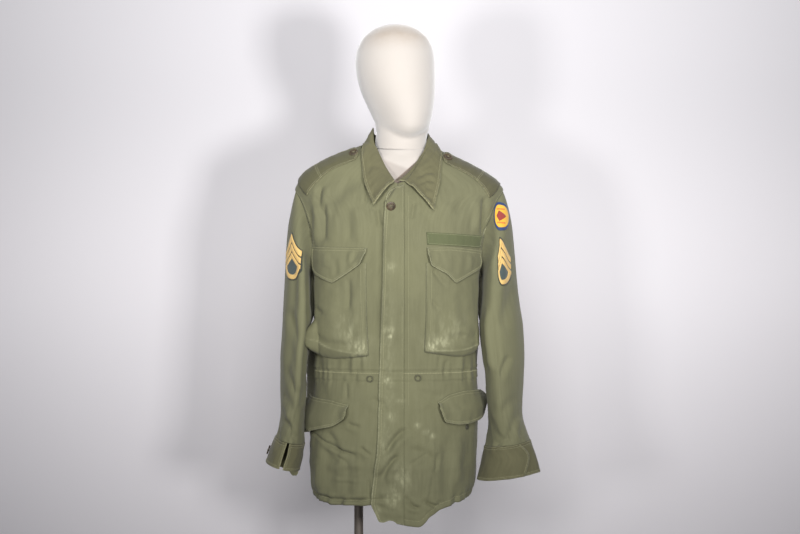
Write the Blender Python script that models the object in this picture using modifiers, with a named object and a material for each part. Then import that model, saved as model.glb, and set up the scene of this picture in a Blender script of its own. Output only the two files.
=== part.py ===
"""Cotton field jacket worn by a limbless dress form with an egg head, on an offset pole stand.

Frame: metres, +Z up, the front of the jacket faces -Y, the origin is under the middle of the base.
"right" and "left" in names are the wearer's, so the wearer's right is at -X.
Every cloth piece is an open grid of points with a wall added by Solidify, away from the wearer.
"""

import math

import bmesh
import bpy
import numpy as np
from mathutils import Vector
from mathutils.bvhtree import BVHTree

# ---------------------------------------------------------------- driving sizes

WALL = 0.0020  # body cloth with its facing
THIN_WALL = 0.0016  # straps, flaps and tapes
SEAM = 0.0003  # between two pieces that are sewn together
LIFT = 0.0009  # between a panel and what is sewn flat on it

ARMPIT = 1.270  # height of the underarm point
SHOULDER_TIP = 1.457  # height of the sleeve seam on the shoulder
NECK_POINT = 1.556  # height where the shoulder seam meets the collar
NECK_PIT = 1.466  # height of the neckline at the centre front
BACK_NECK = 1.540  # height of the neckline at the centre back
SQUARENESS = 0.90  # 1 makes the body's sections plain ellipses, less makes them squarer

ARMHOLE_FRONT = 21.0  # degrees that the armhole cuts into the front from the side
ARMHOLE_BACK = 30.0  # degrees that it cuts into the back
SIDE_SEAM_HEM = 100.0  # degrees round the body of the side seam at the hem; 90 at the underarm

# Inner face of the jacket's body at each height: half widths to the wearer's right and left,
# and depths to the front and back of the middle.
BODY_COLUMNS = ("height", "right", "left", "front", "back")
BODY = (
    (0.700, 0.1900, 0.1650, 0.1420, 0.118),
    (0.780, 0.1905, 0.1660, 0.1420, 0.120),
    (0.840, 0.1905, 0.1690, 0.1400, 0.122),
    (0.920, 0.1860, 0.1730, 0.1360, 0.120),
    (1.000, 0.1820, 0.1735, 0.1300, 0.114),
    (1.060, 0.1800, 0.1725, 0.1240, 0.108),
    (1.120, 0.1810, 0.1720, 0.1270, 0.112),
    (1.200, 0.1820, 0.1740, 0.1330, 0.120),
    (1.280, 0.1840, 0.1780, 0.1340, 0.126),
    (1.340, 0.1940, 0.1900, 0.1280, 0.128),
    (1.400, 0.2070, 0.2090, 0.1140, 0.124),
    (1.440, 0.2175, 0.2230, 0.0990, 0.114),
    (1.457, 0.2225, 0.2280, 0.0900, 0.107),
    (1.475, 0.2165, 0.2140, 0.0810, 0.101),
    (1.487, 0.2080, 0.1970, 0.0760, 0.096),
    (1.500, 0.1940, 0.1760, 0.0710, 0.090),
    (1.515, 0.1690, 0.1480, 0.0630, 0.086),
    (1.530, 0.1390, 0.1180, 0.0530, 0.077),
    (1.545, 0.1030, 0.0880, 0.0375, 0.063),
    (1.556, 0.0715, 0.0705, 0.0200, 0.042),
)

# The largest hanging folds: where each lies round the body (0 front, 90 wearer's left, 180 back),
# the heights that it runs between, its half width in degrees and how far it stands out.
FOLD_COLUMNS = ("angle", "low", "high", "spread", "depth")
BODY_FOLDS = (
    (-52.0, 1.12, 1.40, 12.0, 0.0040),
    (-24.0, 1.02, 1.44, 13.0, -0.0030),
    (30.0, 1.06, 1.44, 12.0, 0.0030),
    (-60.0, 0.74, 0.96, 13.0, 0.0045),
    (48.0, 0.74, 1.00, 13.0, -0.0040),
    (128.0, 1.02, 1.40, 14.0, 0.0060),
    (-124.0, 1.06, 1.42, 13.0, 0.0060),
    (160.0, 0.78, 1.08, 14.0, -0.0040),
    (-164.0, 0.80, 1.10, 13.0, 0.0050),
)

# Hem heights from the middle (share 0) to the side seam (share 1).
HEM_COLUMNS = ("share", "height")
HEM_RIGHT = ((0.0, 0.786), (0.4, 0.784), (0.8, 0.787), (1.0, 0.793))
HEM_LEFT = (
    (0.00, 0.7400),
    (0.11, 0.7375),
    (0.22, 0.7617),
    (0.32, 0.7765),
    (0.50, 0.7870),
    (1.00, 0.7930),
)
HEM_BACK = ((0.0, 0.786), (0.5, 0.789), (1.0, 0.793))

# Necklines from the middle (share 0) to the neck point (share 1), in degrees off the middle.
NECKLINE_COLUMNS = ("share", "turn", "height")
NECKLINE_FRONT = (
    (0.00, 0.0, NECK_PIT),
    (0.37, 13.8, 1.500),
    (0.66, 31.5, 1.530),
    (0.83, 50.0, 1.546),
    (1.00, 90.0, NECK_POINT),
)
NECKLINE_BACK = (
    (0.00, 0.0, BACK_NECK),
    (0.40, 24.0, 1.542),
    (0.72, 48.0, 1.548),
    (1.00, 90.0, NECK_POINT),
)

# Sleeves, station by station from the armhole to the cuff seam and on to the cuff's edge:
# the outer and inner lines, the middle of the ring front to back and its half depth.
SLEEVE_COLUMNS = ("station", "outer_x", "outer_z", "inner_x", "inner_z", "middle_y", "half_depth")
SLEEVE_RIGHT = (
    (0, 0.2225, 1.457, 0.1840, 1.270, 0.004, 0.058),
    (1, 0.2305, 1.428, 0.1920, 1.2725, 0.000, 0.068),
    (2, 0.2405, 1.375, 0.1940, 1.262, -0.004, 0.077),
    (3, 0.2455, 1.320, 0.1950, 1.240, -0.008, 0.083),
    (4, 0.2480, 1.270, 0.1950, 1.212, -0.012, 0.086),
    (5, 0.2505, 1.215, 0.1940, 1.182, -0.015, 0.087),
    (6, 0.2530, 1.151, 0.1935, 1.138, -0.019, 0.087),
    (7, 0.2570, 1.086, 0.1935, 1.082, -0.023, 0.085),
    (8, 0.2570, 1.030, 0.1965, 1.030, -0.027, 0.082),
    (9, 0.2545, 0.972, 0.1995, 0.972, -0.031, 0.077),
    (10, 0.2600, 0.928, 0.2030, 0.917, -0.034, 0.072),
    (11, 0.2720, 0.904, 0.2070, 0.884, -0.036, 0.069),
    (12, 0.2855, 0.8665, 0.2150, 0.848, -0.037, 0.071),
)
SLEEVE_LEFT = (
    (0, 0.2280, 1.457, 0.1780, 1.270, 0.004, 0.058),
    (1, 0.2405, 1.427, 0.1860, 1.2725, 0.000, 0.071),
    (2, 0.2500, 1.375, 0.1880, 1.262, -0.004, 0.084),
    (3, 0.2560, 1.320, 0.1885, 1.240, -0.008, 0.090),
    (4, 0.2600, 1.270, 0.1875, 1.212, -0.012, 0.091),
    (5, 0.2655, 1.215, 0.1850, 1.182, -0.016, 0.090),
    (6, 0.2730, 1.160, 0.1855, 1.142, -0.021, 0.087),
    (7, 0.2760, 1.100, 0.1915, 1.086, -0.027, 0.083),
    (8, 0.2735, 1.040, 0.1950, 1.030, -0.033, 0.078),
    (9, 0.2695, 0.972, 0.1990, 0.972, -0.039, 0.072),
    (10, 0.2790, 0.930, 0.1950, 0.922, -0.043, 0.064),
    (11, 0.2890, 0.902, 0.1850, 0.886, -0.046, 0.057),
    (12, 0.3060, 0.846, 0.1760, 0.828, -0.049, 0.052),
)
SLEEVES = (("right", -1, SLEEVE_RIGHT), ("left", 1, SLEEVE_LEFT))
ARMHOLE_INSET = 0.0028  # the sleeve's first ring stays this far inside the armhole
UNDERARM_INSET = 0.0022  # and this much further at the underarm
ARMHOLE_DEPTH = 0.0060  # the point that it is drawn in to lies this far inside the body
ARMHOLE_OUT = 0.0012  # and the ring stands this far out
ARMHOLE_STATIONS = 2.0  # the sleeve has turned from the armhole into its own ring by here
CUFF_GAP = 0.020  # between sleeve and cuff, in stations
CUFF_SEAM = 10.9  # station where the sleeve ends and the cuff begins
SLEEVE_END = 12.0  # station of the cuff's edge
CUFF_VENT_RING = 75.0  # where the right cuff's slit lies round the sleeve
CUFF_VENT = 2.0  # half width of the slit at its top, in degrees
CUFF_VENT_FLARE = 4.0  # and what it gains by the edge
CUFF_POINT_RING = 44.0  # tip of the left cuff's end
CUFF_POINT = 10.0  # degrees that its corners stand back from the tip
CUFF_LAP = 40.0  # degrees that its other end runs on underneath
CUFF_LAP_STEP = 0.0036
CUFF_LAP_FROM = 14.0  # it starts to step in here, in degrees past the outer line
CUFF_LAP_RUN = 30.0
TAB_TOP = (-0.2278, -0.052, 0.8650)  # the right cuff's loose tab hangs from inside it here
TAB_HALF_WIDTH = 0.0082
TAB_LENGTH = 0.028
TAB_SLANT = 0.004
TAB_ROUND_FROM = 0.5  # share of its length where the rounded end begins

# Collar, from the back (share 0) to a front end (share 1): the fold at its top and its free edge.
COLLAR_COLUMNS = ("share", "fold_x", "fold_y", "fold_z", "edge_x", "edge_y", "edge_z")
COLLAR_RIGHT = (
    (0.00, 0.0050, 0.0640, 1.594, 0.0050, 0.0960, 1.517),
    (0.22, -0.0300, 0.0530, 1.594, -0.0390, 0.0880, 1.518),
    (0.42, -0.0520, 0.0230, 1.592, -0.0700, 0.0540, 1.532),
    (0.55, -0.0545, -0.0010, 1.588, -0.0730, 0.0040, 1.5600),
    (0.68, -0.0500, -0.0300, 1.567, -0.0790, -0.0420, 1.527),
    (0.84, -0.0300, -0.0650, 1.518, -0.0740, -0.0860, 1.482),
    (1.00, -0.0070, -0.0970, 1.4720, -0.0510, -0.1165, 1.4165),
)
COLLAR_LEFT = (
    (0.00, 0.0050, 0.0640, 1.594, 0.0050, 0.0960, 1.517),
    (0.22, 0.0420, 0.0530, 1.592, 0.0480, 0.0880, 1.518),
    (0.42, 0.0640, 0.0230, 1.587, 0.0780, 0.0540, 1.530),
    (0.55, 0.0665, -0.0010, 1.580, 0.0800, 0.0040, 1.5530),
    (0.68, 0.0610, -0.0300, 1.560, 0.0920, -0.0400, 1.521),
    (0.84, 0.0400, -0.0650, 1.515, 0.0900, -0.0850, 1.475),
    (1.00, 0.0130, -0.0970, 1.4725, 0.0745, -0.1175, 1.4060),
)

COLLAR_STAND_ROWS, COLLAR_BEND_ROWS, COLLAR_FALL_ROWS = 2, 3, 3
NECK_POINT_SHARE = 0.55  # share of the collar at which it passes the shoulder seam
COLLAR_START = 0.05  # share of the front neckline that stays open at the pit
COLLAR_RISE = 0.0032  # the collar's base stands this far above the panels' edge
COLLAR_INSET = 0.0018  # and this far inside it
COLLAR_BEND = 0.008  # the fold is rounded over this far each way
COLLAR_CLEAR = 0.0034  # the fall stands this far off the jacket
COLLAR_FALL_REACH = 0.080  # points further than this from the axis belong to the fall
COLLAR_LOOK_FROM = (0.0065, 0.0, 1.487)  # the fall faces away from here

# The fly strip: its free edge on the wearer's right and its sewn edge, from the top down.
FLY_COLUMNS = ("height", "free_x", "sewn_x")
FLY = (
    (0.7450, -0.0440, 0.0127),
    (0.7900, -0.0545, 0.0127),
    (0.8300, -0.0520, 0.0127),
    (0.9070, -0.0425, 0.0127),
    (1.0630, -0.0385, 0.0127),
    (1.2180, -0.0325, 0.0127),
    (1.4300, -0.0270, 0.0127),
    (1.4450, -0.0235, 0.0127),
    (1.4570, -0.0150, 0.0127),
)

FLY_STEP = 0.045
FLY_TOP_RISE = 0.004

# Pieces laid round the body. Each edge is a row of (degrees round the body, height) corners,
# and "flare" is how far the lower outer corner stands away from the body.
LAID_PIECES = {
    "chest_pocket_right": {
        "top": ((-72.0, 1.296), (-29.0, 1.296)),
        "bottom": ((-72.0, 1.122), (-52.0, 1.112), (-29.0, 1.108)),
        "flare": 0.0,
    },
    "chest_pocket_left": {
        "top": ((29.0, 1.296), (72.0, 1.296)),
        "bottom": ((29.0, 1.112), (55.0, 1.110), (72.0, 1.122)),
        "flare": 0.0,
    },
    "chest_flap_right": {
        "top": ((-72.5, 1.331), (-27.5, 1.326)),
        "bottom": ((-72.5, 1.288), (-55.5, 1.2535), (-27.5, 1.291)),
        "flare": 0.002,
    },
    "chest_flap_left": {
        "top": ((27.5, 1.330), (72.5, 1.326)),
        "bottom": ((27.5, 1.288), (51.0, 1.2545), (72.5, 1.286)),
        "flare": 0.002,
    },
    "hip_flap_right": {
        "top": ((-94.0, 1.006), (-43.0, 0.996)),
        "bottom": ((-94.0, 0.960), (-76.0, 0.927), (-43.0, 0.975)),
        "flare": 0.004,
    },
    "hip_flap_left": {
        "top": ((38.0, 1.008), (94.0, 1.022)),
        "bottom": ((38.0, 0.986), (46.0, 0.961), (68.0, 0.951), (94.0, 0.985)),
        "flare": 0.013,
    },
    "name_tape": {
        "top": ((27.5, 1.3605), (68.0, 1.3555)),
        "bottom": ((27.5, 1.3345), (68.0, 1.3300)),
        "flare": 0.0,
    },
}

# Shoulder straps, along X: the sewn sleeve end and the free end by the collar.
STRAP_COLUMNS = ("side", "sleeve_end", "collar_end")
STRAPS = ((-1, 0.2155, 0.0850), (1, 0.2215, 0.0965))
STRAP_WIDE = 0.0300  # half width at the sleeve end
STRAP_NARROW = 0.0215  # half width at the collar end
STRAP_BOW = 9.0  # the sleeve end follows the armhole: X lost per square metre of reach
STRAP_TILT = 40.0  # the straps lie on the front slope: rays that place them lean by this
STRAP_RIDGE = 0.9370  # reach of the shoulder's ridge
STRAP_MIDDLE = ((0.0, 0.9185), (0.5, 0.9450), (1.0, 0.9545))  # reach of the middle line
STRAP_LEFT_LOWER = 0.0060  # and how much less that is on the left
STRAP_ROUND = 0.55  # 1 makes the free end a half circle

# Small hard pieces: each is found by a ray from the front, above or the side.
FRONT_BUTTON_FROM = (-0.0149, -1.0, 1.4148)
CUFF_BUTTON_FROM = (-1.0, -0.040, 0.890)
STUD_FROM = (0.1476, -1.0, 0.9445)
EYELET_COLUMNS = ("word", "from")
EYELETS = (("right", (-0.0590, -1.0, 1.0510)), ("left", (0.0424, -1.0, 1.0530)))
STRAP_BUTTON_COLUMNS = ("word", "side", "x", "reach")
STRAP_BUTTONS = (("right", -1, -0.0960, 0.9555), ("left", 1, 0.1080, 0.9480))
FLY_STACK = 0.0034  # from the front's face to the top of the fly
TO_BACK = (0.0, 1.0, 0.0)
TO_LEFT = (1.0, 0.0, 0.0)

BUTTON_RADIUS = 0.0102
BUTTON_THICKNESS = 0.0032
BUTTON_HOLE_RADIUS = 0.0011
BUTTON_HOLE_OFFSET = 0.0024
EYELET_RADIUS = 0.0065
EYELET_THREAD = 0.0011
STUD_RADIUS = 0.0060
STUD_THICKNESS = 0.0025
BUTTON_SIDES = 18
BUTTON_HOLE_SIDES = 6

# Badges on the fronts of the sleeves: where the middle lies and the half sizes.
BADGE_COLUMNS = ("name", "side", "middle_x", "middle_z", "half_width", "half_height", "outline")
BADGES = (
    ("rank_patch_right", -1, 0.2285, 1.3120, 0.0320, 0.0500, "shield"),
    ("rank_patch_left", 1, 0.2315, 1.3005, 0.0290, 0.0500, "shield"),
    ("shoulder_patch", 1, 0.2300, 1.3955, 0.0275, 0.0310, "round"),
)

DISC_PRESS = 0.94  # 1 would bring a disc's ends to points
SHIELD_PEAK = 0.62  # how far the shield's shoulders lie below its peak, in half heights
SHIELD_FOOT = 0.60  # and its sides' feet above its lowest point

# Dress form: its torso stays inside the jacket by this ease, least where the shoulders carry it.
FORM_BOTTOM = 0.870
FORM_TOP = 1.542
FORM_NECK_X = 0.0065
FORM_NECK_Y = -0.0060
FORM_NECK_RADIUS = 0.0570
FORM_NECK_TOP = 1.5470
FORM_NECK_BOTTOM = 1.4000  # inside the torso
FORM_FRONT_EASE = 0.0060
FORM_EASE_COLUMNS = ("height", "ease")
FORM_EASE = (
    (0.870, 0.0200),
    (0.950, 0.0160),
    (1.060, 0.0220),
    (1.200, 0.0130),
    (1.320, 0.0090),
    (1.400, 0.0060),
    (1.450, 0.0030),
    (1.475, 0.0040),
    (1.510, 0.0040),
    (1.520, 0.0044),
    (1.556, 0.0050),
)
FORM_RINGS = 22
FORM_SIDES = 40

HEAD_TURN = 14.0  # degrees towards the wearer's left
HEAD_COLUMNS = ("height", "middle_x", "half_width", "face", "nape")
HEAD = (
    (1.5473, 0.0065, 0.0570, 0.0570, 0.0570),
    (1.5660, 0.0065, 0.0560, 0.0580, 0.0560),
    (1.5780, 0.0085, 0.0560, 0.0800, 0.0560),
    (1.5900, 0.0100, 0.0580, 0.0890, 0.0600),
    (1.6040, 0.0095, 0.0600, 0.0925, 0.0680),
    (1.6176, 0.0084, 0.0642, 0.0945, 0.0770),
    (1.6440, 0.0048, 0.0723, 0.0960, 0.0920),
    (1.6726, 0.0003, 0.0800, 0.0965, 0.1020),
    (1.7120, -0.0045, 0.0855, 0.0955, 0.1080),
    (1.7360, -0.0058, 0.0866, 0.0930, 0.1080),
    (1.7600, -0.0058, 0.0840, 0.0880, 0.1040),
    (1.7850, -0.0055, 0.0740, 0.0780, 0.0930),
    (1.8030, -0.0050, 0.0570, 0.0600, 0.0730),
    (1.8140, -0.0045, 0.0370, 0.0390, 0.0470),
    (1.8200, -0.0040, 0.0080, 0.0080, 0.0110),
)
HEAD_SIDES = 30
HEAD_LEVELS = (1.566, 1.812, 14)  # from, to and how many between the table's ends

POLE_X = -0.087
POLE_Y = 0.020
POLE_RADIUS = 0.010
SOCKET_RADIUS = 0.019
SOCKET_HEIGHT = 0.060
SOCKET_BEVEL = 0.003
POLE_SIDES = 24
BASE_RADIUS = 0.190
BASE_THICKNESS = 0.010
ROUND_SIDES = 48

# Grid steps of the faceted cloth.
FRONT_COLUMNS = 12
LOWER_ROWS = 8
ARMHOLE_ROWS = 9
SHOULDER_ROWS = 4
BACK_HALF_COLUMNS = 8
SLEEVE_SIDES = 18
SLEEVE_STEPS = 12
CUFF_ROWS = 3
CUFF_SIDES = 18
COLLAR_STEPS = 26
BADGE_STEPS = 6
LAID_STEP = 5.0  # degrees
LAID_ROWS = 3
STRAP_ROWS = 8
STRAP_COLUMNS_ACROSS = 5
BADGE_WALL = 0.0014


# ---------------------------------------------------------------- curves and surfaces


def smooth(knots, values, at):
    """Cubic through the knots that takes its slopes from the neighbours and never overshoots."""
    knots = np.asarray(knots, float)
    values = np.asarray(values, float)
    step = np.diff(knots)
    rise = np.diff(values) / step
    slope = np.zeros_like(values)
    slope[0], slope[-1] = rise[0], rise[-1]
    same_way = rise[:-1] * rise[1:] > 0
    total = np.where(same_way, rise[:-1] + rise[1:], 1.0)
    slope[1:-1] = np.where(same_way, 2 * rise[:-1] * rise[1:] / total, 0.0)
    at = np.clip(at, knots[0], knots[-1])
    i = np.clip(np.searchsorted(knots, at, side="right") - 1, 0, len(step) - 1)
    t = (at - knots[i]) / step[i]
    start = values[i] * (1 + 2 * t) + slope[i] * step[i] * t
    end = values[i + 1] * (3 - 2 * t) - slope[i + 1] * step[i] * (1 - t)
    return start * (1 - t) ** 2 + end * t**2


def column(table, columns, name, at):
    """One named column of a table, read smoothly at places along its first column."""
    rows = np.array(table, float)
    return smooth(rows[:, 0], rows[:, columns.index(name)], np.asarray(at, float))


def unit(vectors):
    return vectors / np.maximum(np.linalg.norm(vectors, axis=-1, keepdims=True), 1e-12)


def fold_height(angle, height):
    """How far the hanging folds push the cloth out, round the body and up it."""
    out = np.zeros(np.broadcast(angle, height).shape)
    for centre, low, high, spread, depth in BODY_FOLDS:
        off = (angle - centre + 180.0) % 360.0 - 180.0
        along = np.clip((height - low) / (high - low), 0.0, 1.0)
        out += depth * np.exp(-((off / spread) ** 2)) * np.sin(math.pi * along) ** 2
    return out


def body_point(angle, height, out=0.0):
    """Point of the body's inner face: a squared ellipse at each height, with the folds on it."""
    angle = np.asarray(angle, float)
    height = np.asarray(height, float)
    sine, cosine = np.sin(np.radians(angle)), np.cos(np.radians(angle))
    half_width = np.where(
        sine < 0,
        column(BODY, BODY_COLUMNS, "right", height),
        column(BODY, BODY_COLUMNS, "left", height),
    )
    depth = np.where(
        cosine > 0,
        column(BODY, BODY_COLUMNS, "front", height),
        column(BODY, BODY_COLUMNS, "back", height),
    )
    x = half_width * np.sign(sine) * np.abs(sine) ** SQUARENESS
    y = -depth * np.sign(cosine) * np.abs(cosine) ** SQUARENESS
    away = unit(np.stack([sine / half_width, -cosine / depth], axis=-1))
    push = fold_height(angle, height) + out
    return np.stack(
        [x + away[..., 0] * push, y + away[..., 1] * push, height + 0 * x], axis=-1
    )


def coons(bottom, top, start, end):
    """Fills a patch between its four edges, each a row of points: edge blends less the corners."""
    u = np.linspace(0, 1, len(bottom))[None, :, None]
    v = np.linspace(0, 1, len(start))[:, None, None]
    rails = (1 - v) * bottom[None] + v * top[None]
    sides = (1 - u) * start[:, None] + u * end[:, None]
    corners = (1 - v) * ((1 - u) * bottom[0] + u * bottom[-1])
    corners = corners + v * ((1 - u) * top[0] + u * top[-1])
    return rails + sides - corners


def armhole(side, ring):
    """(angle round the body, height) of the armhole; ring 0 is the shoulder, 90 the front."""
    ring = np.asarray(ring, float)
    middle, half = (SHOULDER_TIP + ARMPIT) / 2, (SHOULDER_TIP - ARMPIT) / 2
    sine = np.sin(np.radians(ring))
    cut = np.where(sine > 0, -ARMHOLE_FRONT * sine, -ARMHOLE_BACK * sine)
    return side * (90.0 + cut), middle + half * np.cos(np.radians(ring))


def half_panel(side, front, columns):
    """Points of a front, or of half the back, from its middle to the side seam, hem to neck."""
    share = np.linspace(0, 1, columns + 1)
    middle, ring_sign = (0.0, 1) if front else (180.0, -1)
    hem = HEM_BACK if not front else (HEM_RIGHT if side < 0 else HEM_LEFT)
    line = NECKLINE_FRONT if front else NECKLINE_BACK
    centre_top = NECK_PIT if front else BACK_NECK

    def turned(off_middle):
        return side * (off_middle if front else middle - off_middle)

    hem_side = SIDE_SEAM_HEM if front else 180.0 - SIDE_SEAM_HEM
    hem_row = np.stack([hem_side * share, column(hem, HEM_COLUMNS, "height", share)], axis=-1)
    chest_row = np.stack([90 * share, np.full_like(share, ARMPIT)], axis=-1)
    v = np.linspace(0, 1, LOWER_ROWS + 1)[:, None, None]
    lower = (1 - v) * hem_row + v * chest_row

    top_row = np.stack(
        [column(line, NECKLINE_COLUMNS, name, share) for name in ("turn", "height")], axis=-1
    )
    rows = ARMHOLE_ROWS + SHOULDER_ROWS
    heights = np.linspace(ARMPIT, centre_top, rows + 1)
    middle_edge = np.stack([np.zeros(rows + 1), heights], axis=-1)
    ring = ring_sign * np.linspace(180, 0, ARMHOLE_ROWS + 1)
    angle, height = armhole(1, ring)
    hole = np.stack([angle if front else 180 - angle, height], axis=-1)
    seam_heights = np.linspace(SHOULDER_TIP, NECK_POINT, SHOULDER_ROWS + 1)[1:]
    seam = np.stack([np.full(SHOULDER_ROWS, 90.0), seam_heights], axis=-1)
    upper = coons(chest_row, top_row, middle_edge, np.concatenate([hole, seam]))

    places = np.concatenate([lower, upper[1:]])
    return body_point(turned(places[..., 0]), places[..., 1])


def grid_normals(grid, wrap=False):
    """Unit normals of a grid of points, from the lines that run through each point."""
    if wrap:
        along = np.roll(grid, -1, axis=1) - np.roll(grid, 1, axis=1)
    else:
        along = np.gradient(grid, axis=1)
    return unit(np.cross(along, np.gradient(grid, axis=0)))


def pull_in(grid, gap):
    """The same grid with each edge drawn in by gap, so that neighbours stay apart."""
    grid = grid.copy()
    for axis in (0, 1):
        lines = np.moveaxis(grid, axis, 0)
        lines[0] += unit(lines[1] - lines[0]) * gap
        lines[-1] += unit(lines[-2] - lines[-1]) * gap
    return grid


# ---------------------------------------------------------------- objects

SCENE_PARTS = "field_jacket_on_form"
_materials = {}


def clear_scene():
    for old in list(bpy.data.objects):
        bpy.data.objects.remove(old)


def parts_collection():
    made = bpy.data.collections.get(SCENE_PARTS)
    if made is None:
        made = bpy.data.collections.new(SCENE_PARTS)
        bpy.context.scene.collection.children.link(made)
    return made


def material(name, colour, roughness, metallic=0.0):
    if name not in _materials:
        made = bpy.data.materials.new(name)
        made.use_nodes = True
        shader = made.node_tree.nodes["Principled BSDF"]
        shader.inputs["Base Color"].default_value = (*colour, 1.0)
        shader.inputs["Roughness"].default_value = roughness
        shader.inputs["Metallic"].default_value = metallic
        _materials[name] = made
    return _materials[name]


def olive_cloth():
    return material("olive_sateen", (0.165, 0.185, 0.085), 0.85)


def badge_thread():
    return material("badge_thread", (0.75, 0.45, 0.10), 0.80)


def brown_plastic():
    return material("brown_button", (0.075, 0.035, 0.020), 0.35)


def thread_olive():
    return material("olive_thread", (0.20, 0.22, 0.12), 0.80)


def dark_metal():
    return material("dark_snap", (0.06, 0.06, 0.055), 0.40, 0.9)


def cream_jersey():
    return material("cream_jersey", (0.80, 0.75, 0.67), 0.90)


def steel():
    return material("stand_steel", (0.45, 0.44, 0.43), 0.35, 1.0)


def add_object(name, mesh, finish):
    made = bpy.data.objects.new(name, mesh)
    made.data.materials.append(finish)
    parts_collection().objects.link(made)
    return made


def grid_mesh(name, grid, wrap=False, outward=None):
    """Quads over a grid of points, turned so that the faces look towards outward(point)."""
    rows, across = grid.shape[:2]
    index = np.arange(rows * across).reshape(rows, across)
    if wrap:
        index = np.concatenate([index, index[:, :1]], axis=1)
    quads = np.stack(
        [index[:-1, :-1], index[:-1, 1:], index[1:, 1:], index[1:, :-1]], axis=-1
    ).reshape(-1, 4)
    points = grid.reshape(-1, 3)
    if outward is not None:
        corner = points[quads]
        facing = np.cross(corner[:, 2] - corner[:, 0], corner[:, 3] - corner[:, 1])
        if (facing * outward(corner.mean(axis=1))).sum() < 0:
            quads = quads[:, ::-1]
    mesh = bpy.data.meshes.new(name)
    mesh.from_pydata(points.tolist(), [], quads.tolist())
    mesh.shade_smooth()
    return mesh


def away_from_axis(points):
    return points * np.array([1.0, 1.0, 0.0])


def forwards(points):
    return np.zeros_like(points) + np.array([0.0, -1.0, 0.0])


def upwards(points):
    return np.zeros_like(points) + np.array([0.0, 0.0, 1.0])


def cloth(name, grid, wall, finish, wrap=False, outward=away_from_axis):
    """A cloth piece: the grid is its inner face, and the wall is added outwards."""
    made = add_object(name, grid_mesh(name, grid, wrap, outward), finish)
    solid = made.modifiers.new("wall", "SOLIDIFY")
    solid.thickness = wall
    solid.offset = 1.0
    solid.use_even_offset = False
    return made


def turned_outward(grid, normals, outward):
    """The normals, reversed if on the whole they look inwards."""
    return normals * np.sign((normals * outward(grid)).sum())


def outer_tree(pieces):
    """Search tree of the outer faces of cloth pieces: rows of (grid, wall, wrap, outward)."""
    points, faces = [], []
    for grid, wall, wrap, outward in pieces:
        normals = turned_outward(grid, grid_normals(grid, wrap), outward)
        outer = grid + normals * wall
        rows, across = grid.shape[:2]
        index = np.arange(rows * across).reshape(rows, across) + len(points)
        if wrap:
            index = np.concatenate([index, index[:, :1]], axis=1)
        quads = np.stack(
            [index[:-1, :-1], index[:-1, 1:], index[1:, 1:], index[1:, :-1]], axis=-1
        ).reshape(-1, 4)
        points.extend(map(Vector, outer.reshape(-1, 3)))
        corner = outer.reshape(-1, 3)[quads[0] - quads.min()]
        facing = np.cross(corner[2] - corner[0], corner[3] - corner[1])
        if (facing * normals[0, 0]).sum() < 0:
            quads = quads[:, ::-1]
        faces.extend(map(tuple, quads.tolist()))
    return BVHTree.FromPolygons(points, faces)


def cast(tree, starts, directions):
    """Where rays meet a tree, as an array of points; a missed ray takes the nearest point."""
    found = []
    for start, direction in zip(starts.reshape(-1, 3), directions.reshape(-1, 3)):
        place = tree.ray_cast(Vector(start), Vector(direction))[0]
        if place is None:
            place = tree.find_nearest(Vector(start + direction))[0]
        found.append(tuple(place))
    return np.array(found).reshape(starts.shape)


def height_above(tree, samples):
    """How far points stand outside the surface of a tree."""
    found = []
    for sample in samples.reshape(-1, 3):
        place, normal = tree.find_nearest(Vector(sample))[:2]
        found.append((Vector(sample) - place).dot(normal))
    return np.array(found).reshape(samples.shape[:-1])


def settle(grid, tree, lift, outward):
    """The grid moved out until its points, edges and middles all clear the tree by lift."""
    for _ in range(4):
        normals = turned_outward(grid, grid_normals(grid), outward)
        short = np.maximum(lift - height_above(tree, grid), 0.0)
        middles = (grid[:-1, :-1] + grid[1:, :-1] + grid[:-1, 1:] + grid[1:, 1:]) / 4
        across = (grid[:, :-1] + grid[:, 1:]) / 2
        along = (grid[:-1] + grid[1:]) / 2
        for samples, corners in (
            (middles, ((0, 0), (1, 0), (0, 1), (1, 1))),
            (across, ((0, 0), (0, 1))),
            (along, ((0, 0), (1, 0))),
        ):
            need = np.maximum(lift - height_above(tree, samples), 0.0)
            rows, columns = need.shape
            for i, j in corners:
                part = short[i : i + rows, j : j + columns]
                np.maximum(part, need, out=part)
        grid = grid + normals * short[..., None]
    return grid


def edge_places(edges, step):
    """Places across a piece that meet every corner of its edges, with even steps between."""
    stops = sorted({place for edge in edges for place, _ in edge})
    runs = []
    for start, end in zip(stops, stops[1:]):
        runs.append(np.linspace(start, end, max(1, round((end - start) / step)) + 1)[:-1])
    return np.append(np.concatenate(runs), stops[-1])


def laid_round(tree, piece):
    """Grid of a piece laid round the body between its top and bottom edges."""
    angles = edge_places((piece["top"], piece["bottom"]), LAID_STEP)
    high = np.interp(angles, *zip(*piece["top"]))
    low = np.interp(angles, *zip(*piece["bottom"]))
    v = np.linspace(0, 1, LAID_ROWS + 1)[:, None]
    heights = (1 - v) * low + v * high
    turn = np.radians(np.broadcast_to(angles, heights.shape))
    outward = np.stack([np.sin(turn), -np.cos(turn), 0 * turn], axis=-1)
    axis = np.stack([0 * heights, 0 * heights, heights], axis=-1)
    grid = cast(tree, axis + outward, -outward)
    grid = settle(grid, tree, LIFT, away_from_axis)
    outer_share = (np.abs(angles) - np.abs(angles).min()) / np.ptp(np.abs(angles))
    return grid + outward * (piece["flare"] * (1 - v) * outer_share**3)[..., None]


# ---------------------------------------------------------------- jacket


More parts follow.
